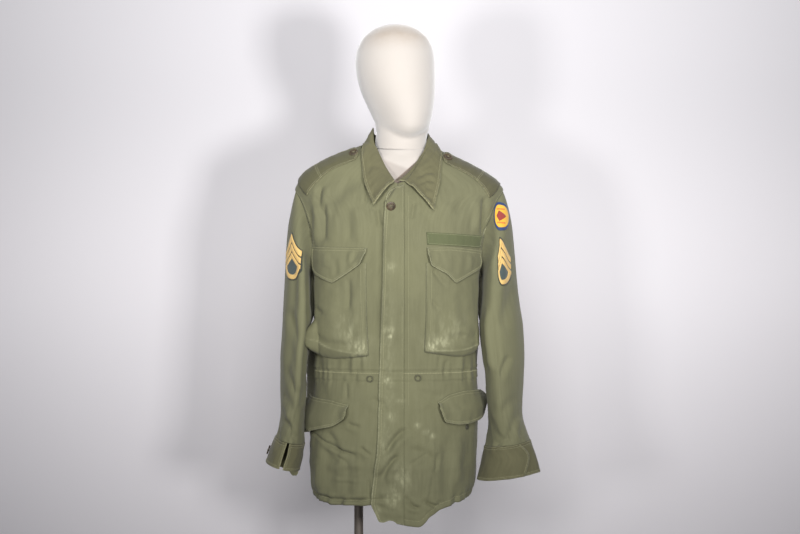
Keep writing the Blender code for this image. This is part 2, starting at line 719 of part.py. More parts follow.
def body_tree_rows(grids):
    """The body's panels as rows for outer_tree, with the left front run on below its hem."""
    rows = [(grid, WALL, False, away_from_axis) for grid in grids.values()]
    for side, name in ((-1, "front_right"), (1, "front_left")):
        hem = grids[name][0]
        share = np.linspace(0, 1, len(hem))
        low = body_point(side * SIDE_SEAM_HEM * share, np.full_like(share, BODY[0][0]))
        rows.append((np.stack([low, hem]), WALL, False, away_from_axis))
    return rows


def build_body():
    """The two fronts and the back, which meet at the centre, the side and the shoulder seams."""
    grids = {
        "front_right": half_panel(-1, True, FRONT_COLUMNS),
        "front_left": half_panel(1, True, FRONT_COLUMNS),
    }
    back_right = half_panel(-1, False, BACK_HALF_COLUMNS)
    back_left = half_panel(1, False, BACK_HALF_COLUMNS)
    grids["back"] = np.concatenate([back_right[:, ::-1], back_left[:, 1:]], axis=1)
    for name, grid in grids.items():
        cloth(name, pull_in(grid, SEAM * 0.7), WALL, olive_cloth())
    return grids


def sleeve_ring(side, table, station, ring):
    """Point of a sleeve: an ellipse through its outer, front, inner and back lines.

    The first rings follow the armhole and turn into the ellipse by the second station.
    """
    value = {
        name: column(table, SLEEVE_COLUMNS, name, station) for name in SLEEVE_COLUMNS[1:]
    }
    cosine, sine = np.cos(np.radians(ring)), np.sin(np.radians(ring))
    x = (value["outer_x"] + value["inner_x"]) / 2
    x = x + cosine * (value["outer_x"] - value["inner_x"]) / 2
    z = (value["outer_z"] + value["inner_z"]) / 2
    z = z + cosine * (value["outer_z"] - value["inner_z"]) / 2
    y = value["middle_y"] - sine * value["half_depth"]
    loose = np.stack([side * x, y, z], axis=-1)
    angle, height = armhole(side, ring)
    sewn = body_point(angle, height)
    centre = body_point(np.array(side * 90.0), np.array((SHOULDER_TIP + ARMPIT) / 2))
    centre[0] -= side * ARMHOLE_DEPTH
    inset = ARMHOLE_INSET + UNDERARM_INSET * (1 - cosine) / 2
    sewn = sewn + unit(centre - sewn) * inset[..., None]
    sewn[..., 0] += side * ARMHOLE_OUT
    share = np.clip(station / ARMHOLE_STATIONS, 0, 1)[..., None]
    share = share * share * (3 - 2 * share)
    return (1 - share) * sewn + share * loose


def sleeve_outward(points):
    """Rough outward direction on a sleeve, from a line down its middle."""
    side = np.sign(points[..., :1])
    return points - np.concatenate(
        [side * 0.222, np.full_like(side, -0.015), points[..., 2:]], axis=-1
    )


def build_sleeves():
    grids = {}
    rings = np.linspace(0, 360, SLEEVE_SIDES, endpoint=False)
    for word, side, table in SLEEVES:
        stations = np.linspace(0.0, CUFF_SEAM, SLEEVE_STEPS + 1)
        station, ring = np.meshgrid(stations, rings, indexing="ij")
        grid = sleeve_ring(side, table, station, ring)
        grids[side] = grid
        cloth(f"sleeve_{word}", grid, WALL, olive_cloth(), True, sleeve_outward)
    return grids


def build_cuffs():
    """Bands on the sleeve ends: the wearer's right one hangs open, the left one laps itself."""
    v = np.linspace(0, 1, CUFF_ROWS + 1)[:, None]
    u = np.linspace(0, 1, CUFF_SIDES + 1)[None, :]
    station = CUFF_SEAM + CUFF_GAP + v * (SLEEVE_END - CUFF_SEAM - CUFF_GAP) + 0 * u
    opening = CUFF_VENT + CUFF_VENT_FLARE * v
    ring = CUFF_VENT_RING + opening + u * (360.0 - 2 * opening)
    right = sleeve_ring(-1, SLEEVE_RIGHT, station, ring)
    cloth("cuff_right", right, WALL, olive_cloth(), False, sleeve_outward)

    start = CUFF_POINT_RING + CUFF_POINT * np.abs(2 * v - 1)
    end = CUFF_POINT_RING + 360.0 + CUFF_LAP
    ring = start + u * (end - start)
    left = sleeve_ring(1, SLEEVE_LEFT, station, ring)
    centre = left.mean(axis=1, keepdims=True)
    under = np.clip((ring - 360.0 - CUFF_LAP_FROM) / CUFF_LAP_RUN, 0, 1)
    under = under * under * (3 - 2 * under) * CUFF_LAP_STEP
    inwards = (centre - left) * np.array([1.0, 1.0, 0.0])
    left = left + unit(inwards) * under[..., None]
    cloth("cuff_left", left, WALL, olive_cloth(), False, sleeve_outward)

    u = np.linspace(-1, 1, 5)[None, :]
    v = np.linspace(0, 1, 6)[:, None]
    rounding = np.clip(v - TAB_ROUND_FROM, 0, 1) / (1.04 * (1 - TAB_ROUND_FROM))
    half = TAB_HALF_WIDTH * np.sqrt(1 - rounding**2)
    x = TAB_TOP[0] + u * half + TAB_SLANT * v
    tab = np.stack([x, TAB_TOP[1] + 0 * x, TAB_TOP[2] - TAB_LENGTH * v + 0 * x], axis=-1)
    cloth("cuff_tab_right", tab, WALL, olive_cloth(), False, forwards)
    return right


def neckline_point(share):
    """Neckline point for a share from the centre back (0) past the neck point to the pit (1)."""
    side = np.where(share < 0, -1, 1)
    size = np.abs(share)
    back = np.clip(size / NECK_POINT_SHARE, 0, 1)
    front = np.clip((1 - size) / (1 - NECK_POINT_SHARE), 0, 1)
    front = COLLAR_START + (1 - COLLAR_START) * front
    turn = np.where(
        size < NECK_POINT_SHARE,
        180.0 - column(NECKLINE_BACK, NECKLINE_COLUMNS, "turn", back),
        column(NECKLINE_FRONT, NECKLINE_COLUMNS, "turn", front),
    )
    height = np.where(
        size < NECK_POINT_SHARE,
        column(NECKLINE_BACK, NECKLINE_COLUMNS, "height", back),
        column(NECKLINE_FRONT, NECKLINE_COLUMNS, "height", front),
    )
    return body_point(side * turn, height)


def collar_line(share, line):
    """Point of the collar's fold or free edge."""
    size = np.abs(share)
    values = []
    for axis in "xyz":
        right = column(COLLAR_RIGHT, COLLAR_COLUMNS, f"{line}_{axis}", size)
        left = column(COLLAR_LEFT, COLLAR_COLUMNS, f"{line}_{axis}", size)
        values.append(np.where(share < 0, right, left))
    return np.stack(values, axis=-1)


def collar_grid(shares):
    """Collar from the neckline up its stand, over a rounded fold and down to the free edge."""
    base = neckline_point(shares)
    base = base - unit(base * np.array([1.0, 1.0, 0.0])) * COLLAR_INSET
    base = base + np.array([0.0, 0.0, COLLAR_RISE])
    fold = collar_line(shares, "fold")
    edge = collar_line(shares, "edge")
    up, down = fold - base, edge - fold
    reach = np.minimum(COLLAR_BEND, 0.45 * np.linalg.norm(up, axis=-1))[:, None]
    bend_start, bend_end = fold - unit(up) * reach, fold + unit(down) * reach
    stand = np.linspace(0, 1, COLLAR_STAND_ROWS + 1)[:-1, None, None]
    bend = np.linspace(0, 1, COLLAR_BEND_ROWS + 1)[:-1, None, None]
    fall = np.linspace(0, 1, COLLAR_FALL_ROWS + 1)[:, None, None]
    rows = [
        base + stand * (bend_start - base),
        bend_start * (1 - bend) ** 2 + 2 * bend * (1 - bend) * fold + bend**2 * bend_end,
        bend_end + fall * (edge - bend_end),
    ]
    return np.concatenate(rows)


def collar_outward(points):
    """Outwards and upwards below the fold; the stand, inside it, follows through the mesh."""
    spread = points - np.array(COLLAR_LOOK_FROM)
    beyond = np.linalg.norm(points[..., :2], axis=-1, keepdims=True) > COLLAR_FALL_REACH
    return spread * beyond


def build_collar(tree):
    shares = np.linspace(-1, 1, COLLAR_STEPS + 1)
    grid = collar_grid(shares)
    fall = COLLAR_STAND_ROWS + COLLAR_BEND_ROWS
    grid[fall:] = settle(grid[fall:], tree, COLLAR_CLEAR, collar_outward)
    cloth("collar", grid, THIN_WALL, olive_cloth(), False, collar_outward)


def build_fly(tree):
    """Folded strip over the closure, cast straight back onto the fronts."""
    heights = edge_places((tuple((row[0], None) for row in FLY),), FLY_STEP)
    u = np.linspace(0, 1, 5)
    free = column(FLY, FLY_COLUMNS, "free_x", heights)[:, None]
    sewn = column(FLY, FLY_COLUMNS, "sewn_x", heights)[:, None]
    x = free + u * (sewn - free)
    z = heights[:, None] + 0 * x
    z[-1] += FLY_TOP_RISE * u
    starts = np.stack([x, np.full_like(x, -1.0), z], axis=-1)
    back = np.broadcast_to(np.array([0.0, 1.0, 0.0]), starts.shape)
    grid = settle(cast(tree, starts, back), tree, LIFT, away_from_axis)
    cloth("fly", grid, THIN_WALL, olive_cloth())


def shoulder_rays(x, reach):
    """Rays that fall on a shoulder from the front and above. Reach is how far one passes from
    the X axis: across the rays, up and to the back."""
    lean = math.radians(STRAP_TILT)
    along = np.array([0.0, math.sin(lean), -math.cos(lean)])
    starts = np.stack([x, reach * math.cos(lean), reach * math.sin(lean)], axis=-1)
    return starts - 2.0 * along, np.broadcast_to(along, starts.shape)


def build_straps(tree):
    grids = {}
    for side, sleeve_end, collar_end in STRAPS:
        u = np.linspace(-1, 1, STRAP_COLUMNS_ACROSS + 1)[:, None]
        v = np.linspace(0, 1, STRAP_ROWS + 1)[None, :]
        half = STRAP_WIDE + (STRAP_NARROW - STRAP_WIDE) * v
        middle = smooth(*np.array(STRAP_MIDDLE).T, v) - STRAP_LEFT_LOWER * (side > 0)
        reach = middle + u * half
        start = sleeve_end - STRAP_BOW * (reach[:, :1] - STRAP_RIDGE) ** 2
        end = collar_end + STRAP_NARROW * STRAP_ROUND * (1 - np.sqrt(1 - 0.98 * u**2))
        x = side * (start + (end - start) * v)
        grid = settle(cast(tree, *shoulder_rays(x, reach)), tree, LIFT, upwards)
        word = "right" if side < 0 else "left"
        cloth(f"epaulette_{word}", grid, THIN_WALL, olive_cloth(), False, upwards)
        grids[side] = grid
    return grids


def on_sleeve(side, table, middle_x, around, height):
    """Sleeve points at given heights and at distances round it from where X is middle_x."""
    stations = np.linspace(0.0, SLEEVE_END, 121)
    rings = np.linspace(-25.0, 155.0, 61)
    station, turn = np.meshgrid(stations, rings)
    heights = sleeve_ring(side, table, station, turn)[..., 2]
    front = (rings >= 6.0) & (rings <= 110.0)
    found = np.zeros(around.shape + (3,))
    for place in np.ndindex(around.shape):
        at = np.array([np.interp(-height[place], -line, stations) for line in heights])
        line = sleeve_ring(side, table, at, rings)
        run = np.concatenate([[0], np.cumsum(np.linalg.norm(np.diff(line, axis=0), axis=-1))])
        spread = np.abs(line[:, 0])
        run = run - np.interp(middle_x, spread[front][::-1], run[front][::-1])
        found[place] = [np.interp(around[place], run, line[:, axis]) for axis in range(3)]
    return found


def badge_places(outline):
    """(across, up) places of a badge: a square of points pressed into a disc or a shield."""
    line = np.linspace(-1, 1, BADGE_STEPS + 1)
    down, across = np.meshgrid(line, line, indexing="ij")
    if outline == "round":
        return across * np.sqrt(1 - DISC_PRESS * down**2), -down
    top = 1 - SHIELD_PEAK * np.abs(across)
    bottom = -1 + SHIELD_FOOT * (1 - np.sqrt(1 - DISC_PRESS * across**2))
    return across, top + (bottom - top) * (down + 1) / 2


def build_badges(sleeves, body_rows):
    """Embroidered badges, cut to their outlines and laid on the sleeves."""
    tables = {side: table for _, side, table in SLEEVES}
    for name, side, middle_x, middle_z, half_width, half_height, outline in BADGES:
        across, up = badge_places(outline)
        height = middle_z + up * half_height
        grid = on_sleeve(side, tables[side], middle_x, across * half_width, height)
        tree = outer_tree([(sleeves[side], WALL, True, sleeve_outward)] + body_rows)
        normals = turned_outward(grid, grid_normals(grid), sleeve_outward)
        grid = settle(grid + normals * WALL, tree, LIFT, sleeve_outward)
        cloth(name, grid, BADGE_WALL, badge_thread(), False, sleeve_outward)


# ---------------------------------------------------------------- small hard pieces


def closed_rings(name, rings, finish):
    """Closed body through stacked rings of points, with flat ends; faces turned outwards."""
    count, sides = rings.shape[:2]
    index = np.arange(count * sides).reshape(count, sides)
    index = np.concatenate([index, index[:, :1]], axis=1)
    quads = np.stack(
        [index[:-1, :-1], index[:-1, 1:], index[1:, 1:], index[1:, :-1]], axis=-1
    ).reshape(-1, 4)
    faces = quads.tolist() + [index[0, :-1].tolist(), index[-1, :-1].tolist()]
    mesh = bpy.data.meshes.new(name)
    mesh.from_pydata(rings.reshape(-1, 3).tolist(), [], faces)
    shape = bmesh.new()
    shape.from_mesh(mesh)
    bmesh.ops.recalc_face_normals(shape, faces=shape.faces)
    shape.to_mesh(mesh)
    shape.free()
    mesh.shade_smooth()
    return add_object(name, mesh, finish)


def turned(profile, sides):
    """Rings of points for a profile of (radius, height) rows turned round the Z axis."""
    around = np.linspace(0, 2 * math.pi, sides, endpoint=False)
    profile = np.array(profile, float)
    x = profile[:, :1] * np.cos(around)
    y = profile[:, :1] * np.sin(around)
    return np.stack([x, y, profile[:, 1:] + 0 * x], axis=-1)


def stood_on(made, place, normal):
    """Puts an object's +Z along a normal at a place."""
    turn = Vector((0, 0, 1)).rotation_difference(Vector(normal))
    made.matrix_world = turn.to_matrix().to_4x4()
    made.location = Vector(place)


def resting_place(tree, start, direction, lift):
    """Where a small piece sits: the point that a ray meets, and the normal there."""
    place, normal = tree.ray_cast(Vector(start), Vector(direction))[:2]
    if normal.dot(Vector(direction)) > 0:
        normal = -normal
    return place + normal * lift, normal


def build_button(name, place, normal):
    """Moulded four-hole button with a raised rim."""
    r, t = BUTTON_RADIUS, BUTTON_THICKNESS
    profile = (
        (0.86 * r, 0.0),
        (r, 0.30 * t),
        (r, 0.75 * t),
        (0.90 * r, t),
        (0.74 * r, 0.92 * t),
        (0.60 * r, 0.62 * t),
    )
    button = closed_rings(name, turned(profile, BUTTON_SIDES), brown_plastic())
    stood_on(button, place, normal)
    bore = turned(((BUTTON_HOLE_RADIUS, -t), (BUTTON_HOLE_RADIUS, 2 * t)), BUTTON_HOLE_SIDES)
    for i, j in ((-1, -1), (-1, 1), (1, -1), (1, 1)):
        hole = bore + np.array([i, j, 0.0]) * BUTTON_HOLE_OFFSET
        cutter = closed_rings(f"{name}_hole_{i}_{j}", hole, brown_plastic())
        cutter.hide_render = True
        stood_on(cutter, place, normal)
        cut = button.modifiers.new("hole", "BOOLEAN")
        cut.operation = "DIFFERENCE"
        cut.solver = "EXACT"
        cut.object = cutter


def build_eyelet(name, place, normal):
    """Ring of thread bound round a drawcord hole."""
    bpy.ops.mesh.primitive_torus_add(
        major_radius=EYELET_RADIUS,
        minor_radius=EYELET_THREAD,
        major_segments=16,
        minor_segments=5,
    )
    made = bpy.context.object
    made.name = made.data.name = name
    for old in list(made.users_collection):
        old.objects.unlink(made)
    parts_collection().objects.link(made)
    made.data.materials.append(thread_olive())
    stood_on(made, place, normal)


def build_small_pieces(tree, straps, cuff):
    place, normal = resting_place(tree, FRONT_BUTTON_FROM, TO_BACK, FLY_STACK)
    build_button("front_button", place, normal)
    for word, side, x, reach in STRAP_BUTTONS:
        strap = outer_tree([(straps[side], THIN_WALL, False, upwards)])
        start, along = shoulder_rays(np.array(x), np.array(reach))
        place, normal = resting_place(strap, start, along, LIFT)
        build_button(f"epaulette_button_{word}", place, normal)
    band = outer_tree([(cuff, WALL, False, sleeve_outward)])
    place, normal = resting_place(band, CUFF_BUTTON_FROM, TO_LEFT, LIFT)
    build_button("cuff_button_right", place, normal)
    for word, start in EYELETS:
        place, normal = resting_place(tree, start, TO_BACK, EYELET_THREAD + LIFT / 2)
        build_eyelet(f"eyelet_{word}", place, normal)
    place, normal = resting_place(tree, STUD_FROM, TO_BACK, LIFT / 2)
    r, t = STUD_RADIUS, STUD_THICKNESS
    profile = ((r, 0.0), (r, 0.35 * t), (0.62 * r, 0.5 * t), (0.5 * r, t), (0.2 * r, 0.9 * t))
    stud = closed_rings("snap_stud", turned(profile, BUTTON_SIDES), dark_metal())
    stood_on(stud, place, normal)


# ---------------------------------------------------------------- form and stand


def build_form():
    heights = np.linspace(FORM_BOTTOM, FORM_TOP, FORM_RINGS)
    angles = np.linspace(0, 360, FORM_SIDES, endpoint=False)
    angle, height = np.meshgrid((angles + 180) % 360 - 180, heights)
    ease = column(FORM_EASE, FORM_EASE_COLUMNS, "ease", height)
    ease = ease + FORM_FRONT_EASE * np.abs(np.cos(np.radians(angle))) ** 2
    rings = body_point(angle, height, -ease)
    torso = closed_rings("form_torso", rings, cream_jersey())
    profile = ((FORM_NECK_RADIUS, FORM_NECK_BOTTOM), (FORM_NECK_RADIUS, FORM_NECK_TOP))
    neck = turned(profile, HEAD_SIDES)
    neck = neck + np.array([FORM_NECK_X, FORM_NECK_Y, 0.0])
    stub = closed_rings("neck_stub", neck, cream_jersey())
    stub.hide_render = True
    join = torso.modifiers.new("neck", "BOOLEAN")
    join.operation = "UNION"
    join.solver = "EXACT"
    join.object = stub

    rows = np.array(HEAD)
    levels = np.concatenate([rows[:1, 0], np.linspace(*HEAD_LEVELS), rows[-1:, 0]])
    turn = math.radians(HEAD_TURN)
    around = np.linspace(0, 2 * math.pi, HEAD_SIDES, endpoint=False)[None, :]
    value = {name: column(HEAD, HEAD_COLUMNS, name, levels)[:, None] for name in HEAD_COLUMNS[1:]}
    across = value["half_width"] * np.sin(around)
    forward = np.cos(around)
    forward = forward * np.where(forward > 0, value["face"], value["nape"])
    x = value["middle_x"] + across * math.cos(turn) + forward * math.sin(turn)
    y = FORM_NECK_Y + across * math.sin(turn) - forward * math.cos(turn)
    closed_rings("form_head", np.stack([x, y, levels[:, None] + 0 * x], axis=-1), cream_jersey())


def build_stand():
    r, t = BASE_RADIUS, BASE_THICKNESS
    profile = ((r, 0.0), (r, 0.7 * t), (r - 0.3 * t, t))
    closed_rings("stand_base", turned(profile, ROUND_SIDES), steel())
    top = FORM_BOTTOM - SEAM
    pole = turned(((POLE_RADIUS, t + SEAM), (POLE_RADIUS, top)), POLE_SIDES)
    pole = pole + np.array([POLE_X, POLE_Y, 0.0])
    closed_rings("stand_pole", pole, steel())
    inner, outer = POLE_RADIUS + SEAM, SOCKET_RADIUS
    low, high = t + SEAM, t + SOCKET_HEIGHT
    bevel = SOCKET_BEVEL
    profile = ((inner, low), (outer, low), (outer, high - bevel), (outer - bevel, high), (inner, high))
    rings = turned(profile, POLE_SIDES) + np.array([POLE_X, POLE_Y, 0.0])
    loop = np.concatenate([rings, rings[:1]])
    mesh = grid_mesh("stand_socket", loop, wrap=True)
    shape = bmesh.new()
    shape.from_mesh(mesh)
    bmesh.ops.remove_doubles(shape, verts=shape.verts, dist=1e-6)
    bmesh.ops.recalc_face_normals(shape, faces=shape.faces)
    shape.to_mesh(mesh)
    shape.free()
    add_object("stand_socket", mesh, steel())


def main():
    clear_scene()
    body = build_body()
    sleeves = build_sleeves()
    cuff = build_cuffs()
    rows = body_tree_rows(body)
    tree = outer_tree(rows)
    pockets = []
    for name, piece in LAID_PIECES.items():
        over = outer_tree(rows + pockets) if "flap" in name else tree
        grid = laid_round(over, piece)
        if "pocket" in name:
            pockets.append((grid, THIN_WALL, False, away_from_axis))
        cloth(name, grid, THIN_WALL, olive_cloth())
    build_fly(tree)
    build_collar(tree)
    straps = build_straps(tree)
    build_badges(sleeves, rows)
    build_small_pieces(tree, straps, cuff)
    build_form()
    build_stand()


main()
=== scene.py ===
import math

import bpy
import numpy as np
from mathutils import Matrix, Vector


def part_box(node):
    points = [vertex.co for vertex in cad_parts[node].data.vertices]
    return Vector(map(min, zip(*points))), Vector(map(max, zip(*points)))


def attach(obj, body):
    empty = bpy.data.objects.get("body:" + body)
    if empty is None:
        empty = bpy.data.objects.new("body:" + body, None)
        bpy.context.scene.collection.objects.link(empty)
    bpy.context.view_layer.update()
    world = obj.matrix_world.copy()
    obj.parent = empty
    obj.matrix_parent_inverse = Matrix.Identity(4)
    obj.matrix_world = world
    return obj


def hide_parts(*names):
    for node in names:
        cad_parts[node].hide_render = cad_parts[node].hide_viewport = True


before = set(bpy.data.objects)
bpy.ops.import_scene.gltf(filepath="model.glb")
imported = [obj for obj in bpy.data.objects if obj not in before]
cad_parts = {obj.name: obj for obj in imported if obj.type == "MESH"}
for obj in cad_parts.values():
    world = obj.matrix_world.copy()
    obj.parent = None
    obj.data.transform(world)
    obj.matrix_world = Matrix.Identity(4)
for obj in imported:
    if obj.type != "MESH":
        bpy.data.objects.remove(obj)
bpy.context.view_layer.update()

# ---------------------------------------------------------------- fronts and back
# Two fronts and a one-piece back of olive cotton sateen, joined by flat seams at the sides and
# shoulders. A drawcord channel runs round the waist and another along the hem.

PANEL_WALL = 0.0020
SEAM_GAP = 0.0003
SEAM_INSET = SEAM_GAP * 0.7  # how far each side of a seam is drawn in
ARMPIT, SHOULDER_TIP = 1.270, 1.457
NECK_POINT, NECK_PIT, BACK_NECK = 1.556, 1.466, 1.540
SQUARENESS = 0.90
ARMHOLE_FRONT, ARMHOLE_BACK = 21.0, 30.0
SIDE_SEAM_HEM = 100.0
WAIST_LINES = (1.0450, 1.0670)
HEM_CHANNEL = 0.0125
# How far stitched places stand out or are drawn in, and how much the drawn creases are deepened.
ARMHOLE_WELT, WAIST_GATHER, WAIST_GROOVE, WAIST_WELT = 0.0018, 0.0024, 0.0018, 0.0012
HEM_PUCKER, HEM_DRAWN_IN = 0.0042, 0.0100
FRONT_CREASE_GAIN, BACK_CREASE_GAIN = 2.0, 1.5

# Inner face of the body: height, half widths to the right and left, depths to front and back.
BODY = np.array([
    (0.700, 0.1900, 0.1650, 0.1420, 0.118), (0.780, 0.1905, 0.1660, 0.1420, 0.120),
    (0.840, 0.1905, 0.1690, 0.1400, 0.122), (0.920, 0.1860, 0.1730, 0.1360, 0.120),
    (1.000, 0.1820, 0.1735, 0.1300, 0.114), (1.060, 0.1800, 0.1725, 0.1240, 0.108),
    (1.120, 0.1810, 0.1720, 0.1270, 0.112), (1.200, 0.1820, 0.1740, 0.1330, 0.120),
    (1.280, 0.1840, 0.1780, 0.1340, 0.126), (1.340, 0.1940, 0.1900, 0.1280, 0.128),
    (1.400, 0.2070, 0.2090, 0.1140, 0.124), (1.440, 0.2175, 0.2230, 0.0990, 0.114),
    (1.457, 0.2225, 0.2280, 0.0900, 0.107), (1.475, 0.2165, 0.2140, 0.0810, 0.101),
    (1.487, 0.2080, 0.1970, 0.0760, 0.096), (1.500, 0.1940, 0.1760, 0.0710, 0.090),
    (1.515, 0.1690, 0.1480, 0.0630, 0.086), (1.530, 0.1390, 0.1180, 0.0530, 0.077),
    (1.545, 0.1030, 0.0880, 0.0375, 0.063), (1.556, 0.0715, 0.0705, 0.0200, 0.042),
])
# Hanging folds: place round the body in degrees, lowest and highest point, spread, depth.
HANGING = np.array([
    (-92.0, 0.78, 1.03, 40.0, 0.0045),
    (-52.0, 1.12, 1.40, 12.0, 0.0040), (-24.0, 1.02, 1.44, 13.0, -0.0030),
    (30.0, 1.06, 1.44, 12.0, 0.0030), (-60.0, 0.74, 0.96, 13.0, 0.0045),
    (48.0, 0.74, 1.00, 13.0, -0.0040), (128.0, 1.02, 1.40, 14.0, 0.0060),
    (-124.0, 1.06, 1.42, 13.0, 0.0060), (160.0, 0.78, 1.08, 14.0, -0.0040),
    (-164.0, 0.80, 1.10, 13.0, 0.0050),
])
# Hem heights from the middle (share 0) to the side seam (share 1).
HEMS = {
    "front_right": np.array([(0.0, 0.787), (0.4, 0.784), (0.8, 0.792), (1.0, 0.804)]),
    "front_left": np.array([
        (0.0, 0.7470), (0.07, 0.7420), (0.13, 0.7400), (0.22, 0.7617), (0.32, 0.7765),
        (0.5, 0.786), (0.8, 0.792), (1.0, 0.804),
    ]),
    "back": np.array([(0.0, 0.790), (0.5, 0.794), (1.0, 0.804)]),
}
# Necklines from the middle (share 0) to the neck point: degrees off the middle, height.
NECKLINE_FRONT = np.array([
    (0.00, 0.0, NECK_PIT), (0.37, 13.8, 1.500), (0.66, 31.5, 1.530), (0.83, 50.0, 1.546),
    (1.00, 90.0, NECK_POINT),
])
NECKLINE_BACK = np.array([
    (0.00, 0.0, BACK_NECK), (0.40, 24.0, 1.542), (0.72, 48.0, 1.548), (1.00, 90.0, NECK_POINT),
])
# Creases pressed and pulled into the fronts, in mm: from (x, z) to (x, z), then how far the
# line bows aside, the crease's half width and how far it stands out (or in, below zero).
FRONT_CREASES = (
    (48, 797, 81, 782, 0, 4, -2.4), (26, 785, 45, 779, 0, 4, -1.6), (66, 860, 59, 794, 0, 5, 1.4),
    (-109, 1045, -108, 1004, 0, 4, -1.4), (-128, 902, -122, 838, 6, 9, 1.2),
    (-68, 1470, -66, 1420, 0, 5, -2.4), (-44, 1414, -38, 1370, 0, 7, -2.0),
    (35, 1427, 29, 1385, 0, 6, -1.8), (-170, 1130, -168, 1060, 0, 7, -1.6),
    (-162, 1465, -164, 1395, -6, 7, -3.0), (-157, 1433, -156, 1338, 0, 6, -2.5),
    (-173, 1429, -175, 1332, 0, 7, 2.5), (-133, 1403, -137, 1336, 0, 8, 1.0),
    (-109, 1418, -105, 1336, 2, 10, -1.2), (-86, 1418, -80, 1332, 0, 10, 1.0),
    (-40, 1418, -48, 1108, 0, 17, -4.0), (-97, 1475, -152, 1418, 4, 13, -1.5),
    (186, 1444, 181, 1351, 0, 7, -3.0), (169, 1437, 167, 1361, 0, 8, 1.5),
    (68, 1397, 59, 1361, 0, 10, -1.0), (110, 1429, 101, 1361, 0, 15, 1.0),
    (34, 1397, 30, 1123, 0, 15, -1.5), (152, 1446, 120, 1397, 0, 13, -1.2),
    (-93, 1108, -95, 1056, 0, 5, 2.0), (-80, 1104, -78, 1054, 0, 5, -1.5),
    (-109, 1096, -111, 1054, 0, 6, -1.2), (-143, 1096, -147, 1066, 0, 8, 1.2),
    (80, 1108, 76, 1066, 0, 6, 1.2), (103, 1092, 97, 1054, 0, 6, -1.2),
    (135, 1100, 131, 1066, 0, 7, 1.0),
    (-158, 918, -84, 888, -4, 5, -2.4), (-80, 908, -57, 889, 0, 4, -2.0),
    (-107, 955, -78, 948, 0, 5, -1.5), (-27, 889, 23, 950, 6, 8, -2.5),
    (-36, 837, 2, 894, 4, 8, -2.2), (-137, 837, -80, 835, 0, 4, 0.8),
    (-83, 923, -83, 835, 0, 4, 0.8), (71, 934, 74, 835, 0, 4, 0.8),
    (-160, 902, -168, 807, 0, 13, 2.0), (-111, 881, -105, 797, 0, 13, -1.5),
    (99, 923, 103, 797, 0, 15, -2.0), (131, 944, 125, 818, 0, 13, 2.0),
    (57, 792, 82, 780, 0, 5, -2.5), (21, 792, 44, 778, 0, 5, -2.2),
    (-6, 1460, -30, 1420, 0, 4, -3.0), (-150, 940, -120, 880, 3, 8, -1.8),
    (-60, 1010, -20, 985, 3, 8, -1.4), (30, 1030, 100, 1010, -4, 10, -1.2),
    (-190, 935, -146, 909, 2, 3, -1.6), (-146, 909, -92, 893, -3, 3, -1.2),
    (-130, 886, -104, 868, 2, 3, -1.0), (24, 868, 62, 893, 2, 3, -1.0),
    (18, 962, 40, 930, -3, 3, -0.9), (84, 900, 74, 850, 2, 4, -1.2),
    (12, 806, 30, 790, 0, 3, -1.2), (62, 800, 96, 788, 1, 3, -1.3),
    (-178, 802, -58, 801, -8, 4, -2.6), (-62, 842, -60, 798, 0, 4, -2.4),
    (20, 905, 90, 870, 6, 9, -1.4), (-70, 870, -150, 855, -5, 9, 1.2),
)
# The back bags out behind both sleeves and closes softly at the top: degrees, lowest and
# highest point, spread, depth.
BACK_WINGS = ((-117.0, 0.880, 1.200, 10.0, 0.0500), (113.0, 0.830, 1.015, 8.0, 0.0140))
BACK_CREASES = (
    (-150, 1420, -95, 1290, 10, 12, -2.5), (150, 1410, 100, 1270, -10, 12, -2.5),
    (-60, 1460, -75, 1200, 0, 18, 2.0), (55, 1450, 82, 1180, 5, 16, -2.2),
    (0, 1480, -6, 1120, 4, 20, -1.8), (-120, 1250, -110, 1085, 0, 12, 2.4),
    (118, 1240, 100, 1090, 0, 13, 2.4), (-30, 1150, -34, 1070, 0, 8, 1.5),
    (36, 1160, 30, 1070, 0, 8, -1.6), (-90, 1040, -110, 860, 0, 14, -2.2),
    (20, 1040, 12, 830, -5, 18, 2.2), (95, 1035, 115, 850, 6, 14, -2.4),
    (-40, 900, 60, 850, 8, 12, -1.8), (-140, 880, -60, 835, -6, 9, 1.6),
    (60, 960, 140, 905, 5, 9, -1.6),
)


def smooth(table, column, at):
    """One column of a table read at places along its first column: a cubic through the rows
    that takes its slopes from the neighbours and never overshoots."""
    knots, values = table[:, 0], table[:, column]
    step = np.diff(knots)
    rise = np.diff(values) / step
    slope = np.zeros_like(values)
    slope[0], slope[-1] = rise[0], rise[-1]
    same_way = rise[:-1] * rise[1:] > 0
    total = np.where(same_way, rise[:-1] + rise[1:], 1.0)
    slope[1:-1] = np.where(same_way, 2 * rise[:-1] * rise[1:] / total, 0.0)
    at = np.clip(at, knots[0], knots[-1])
    i = np.clip(np.searchsorted(knots, at, side="right") - 1, 0, len(step) - 1)
    t = (at - knots[i]) / step[i]
    start = values[i] * (1 + 2 * t) + slope[i] * step[i] * t
    end = values[i + 1] * (3 - 2 * t) - slope[i + 1] * step[i] * (1 - t)
    return start * (1 - t) ** 2 + end * t**2


def unit(vectors):
    """Vectors divided by their own length."""
    return vectors / np.maximum(np.linalg.norm(vectors, axis=-1, keepdims=True), 1e-12)


def ease(share):
    """Smooth step from 0 to 1: 3 s squared less 2 s cubed, held flat outside."""
    share = np.clip(share, 0.0, 1.0)
    return share * share * (3 - 2 * share)


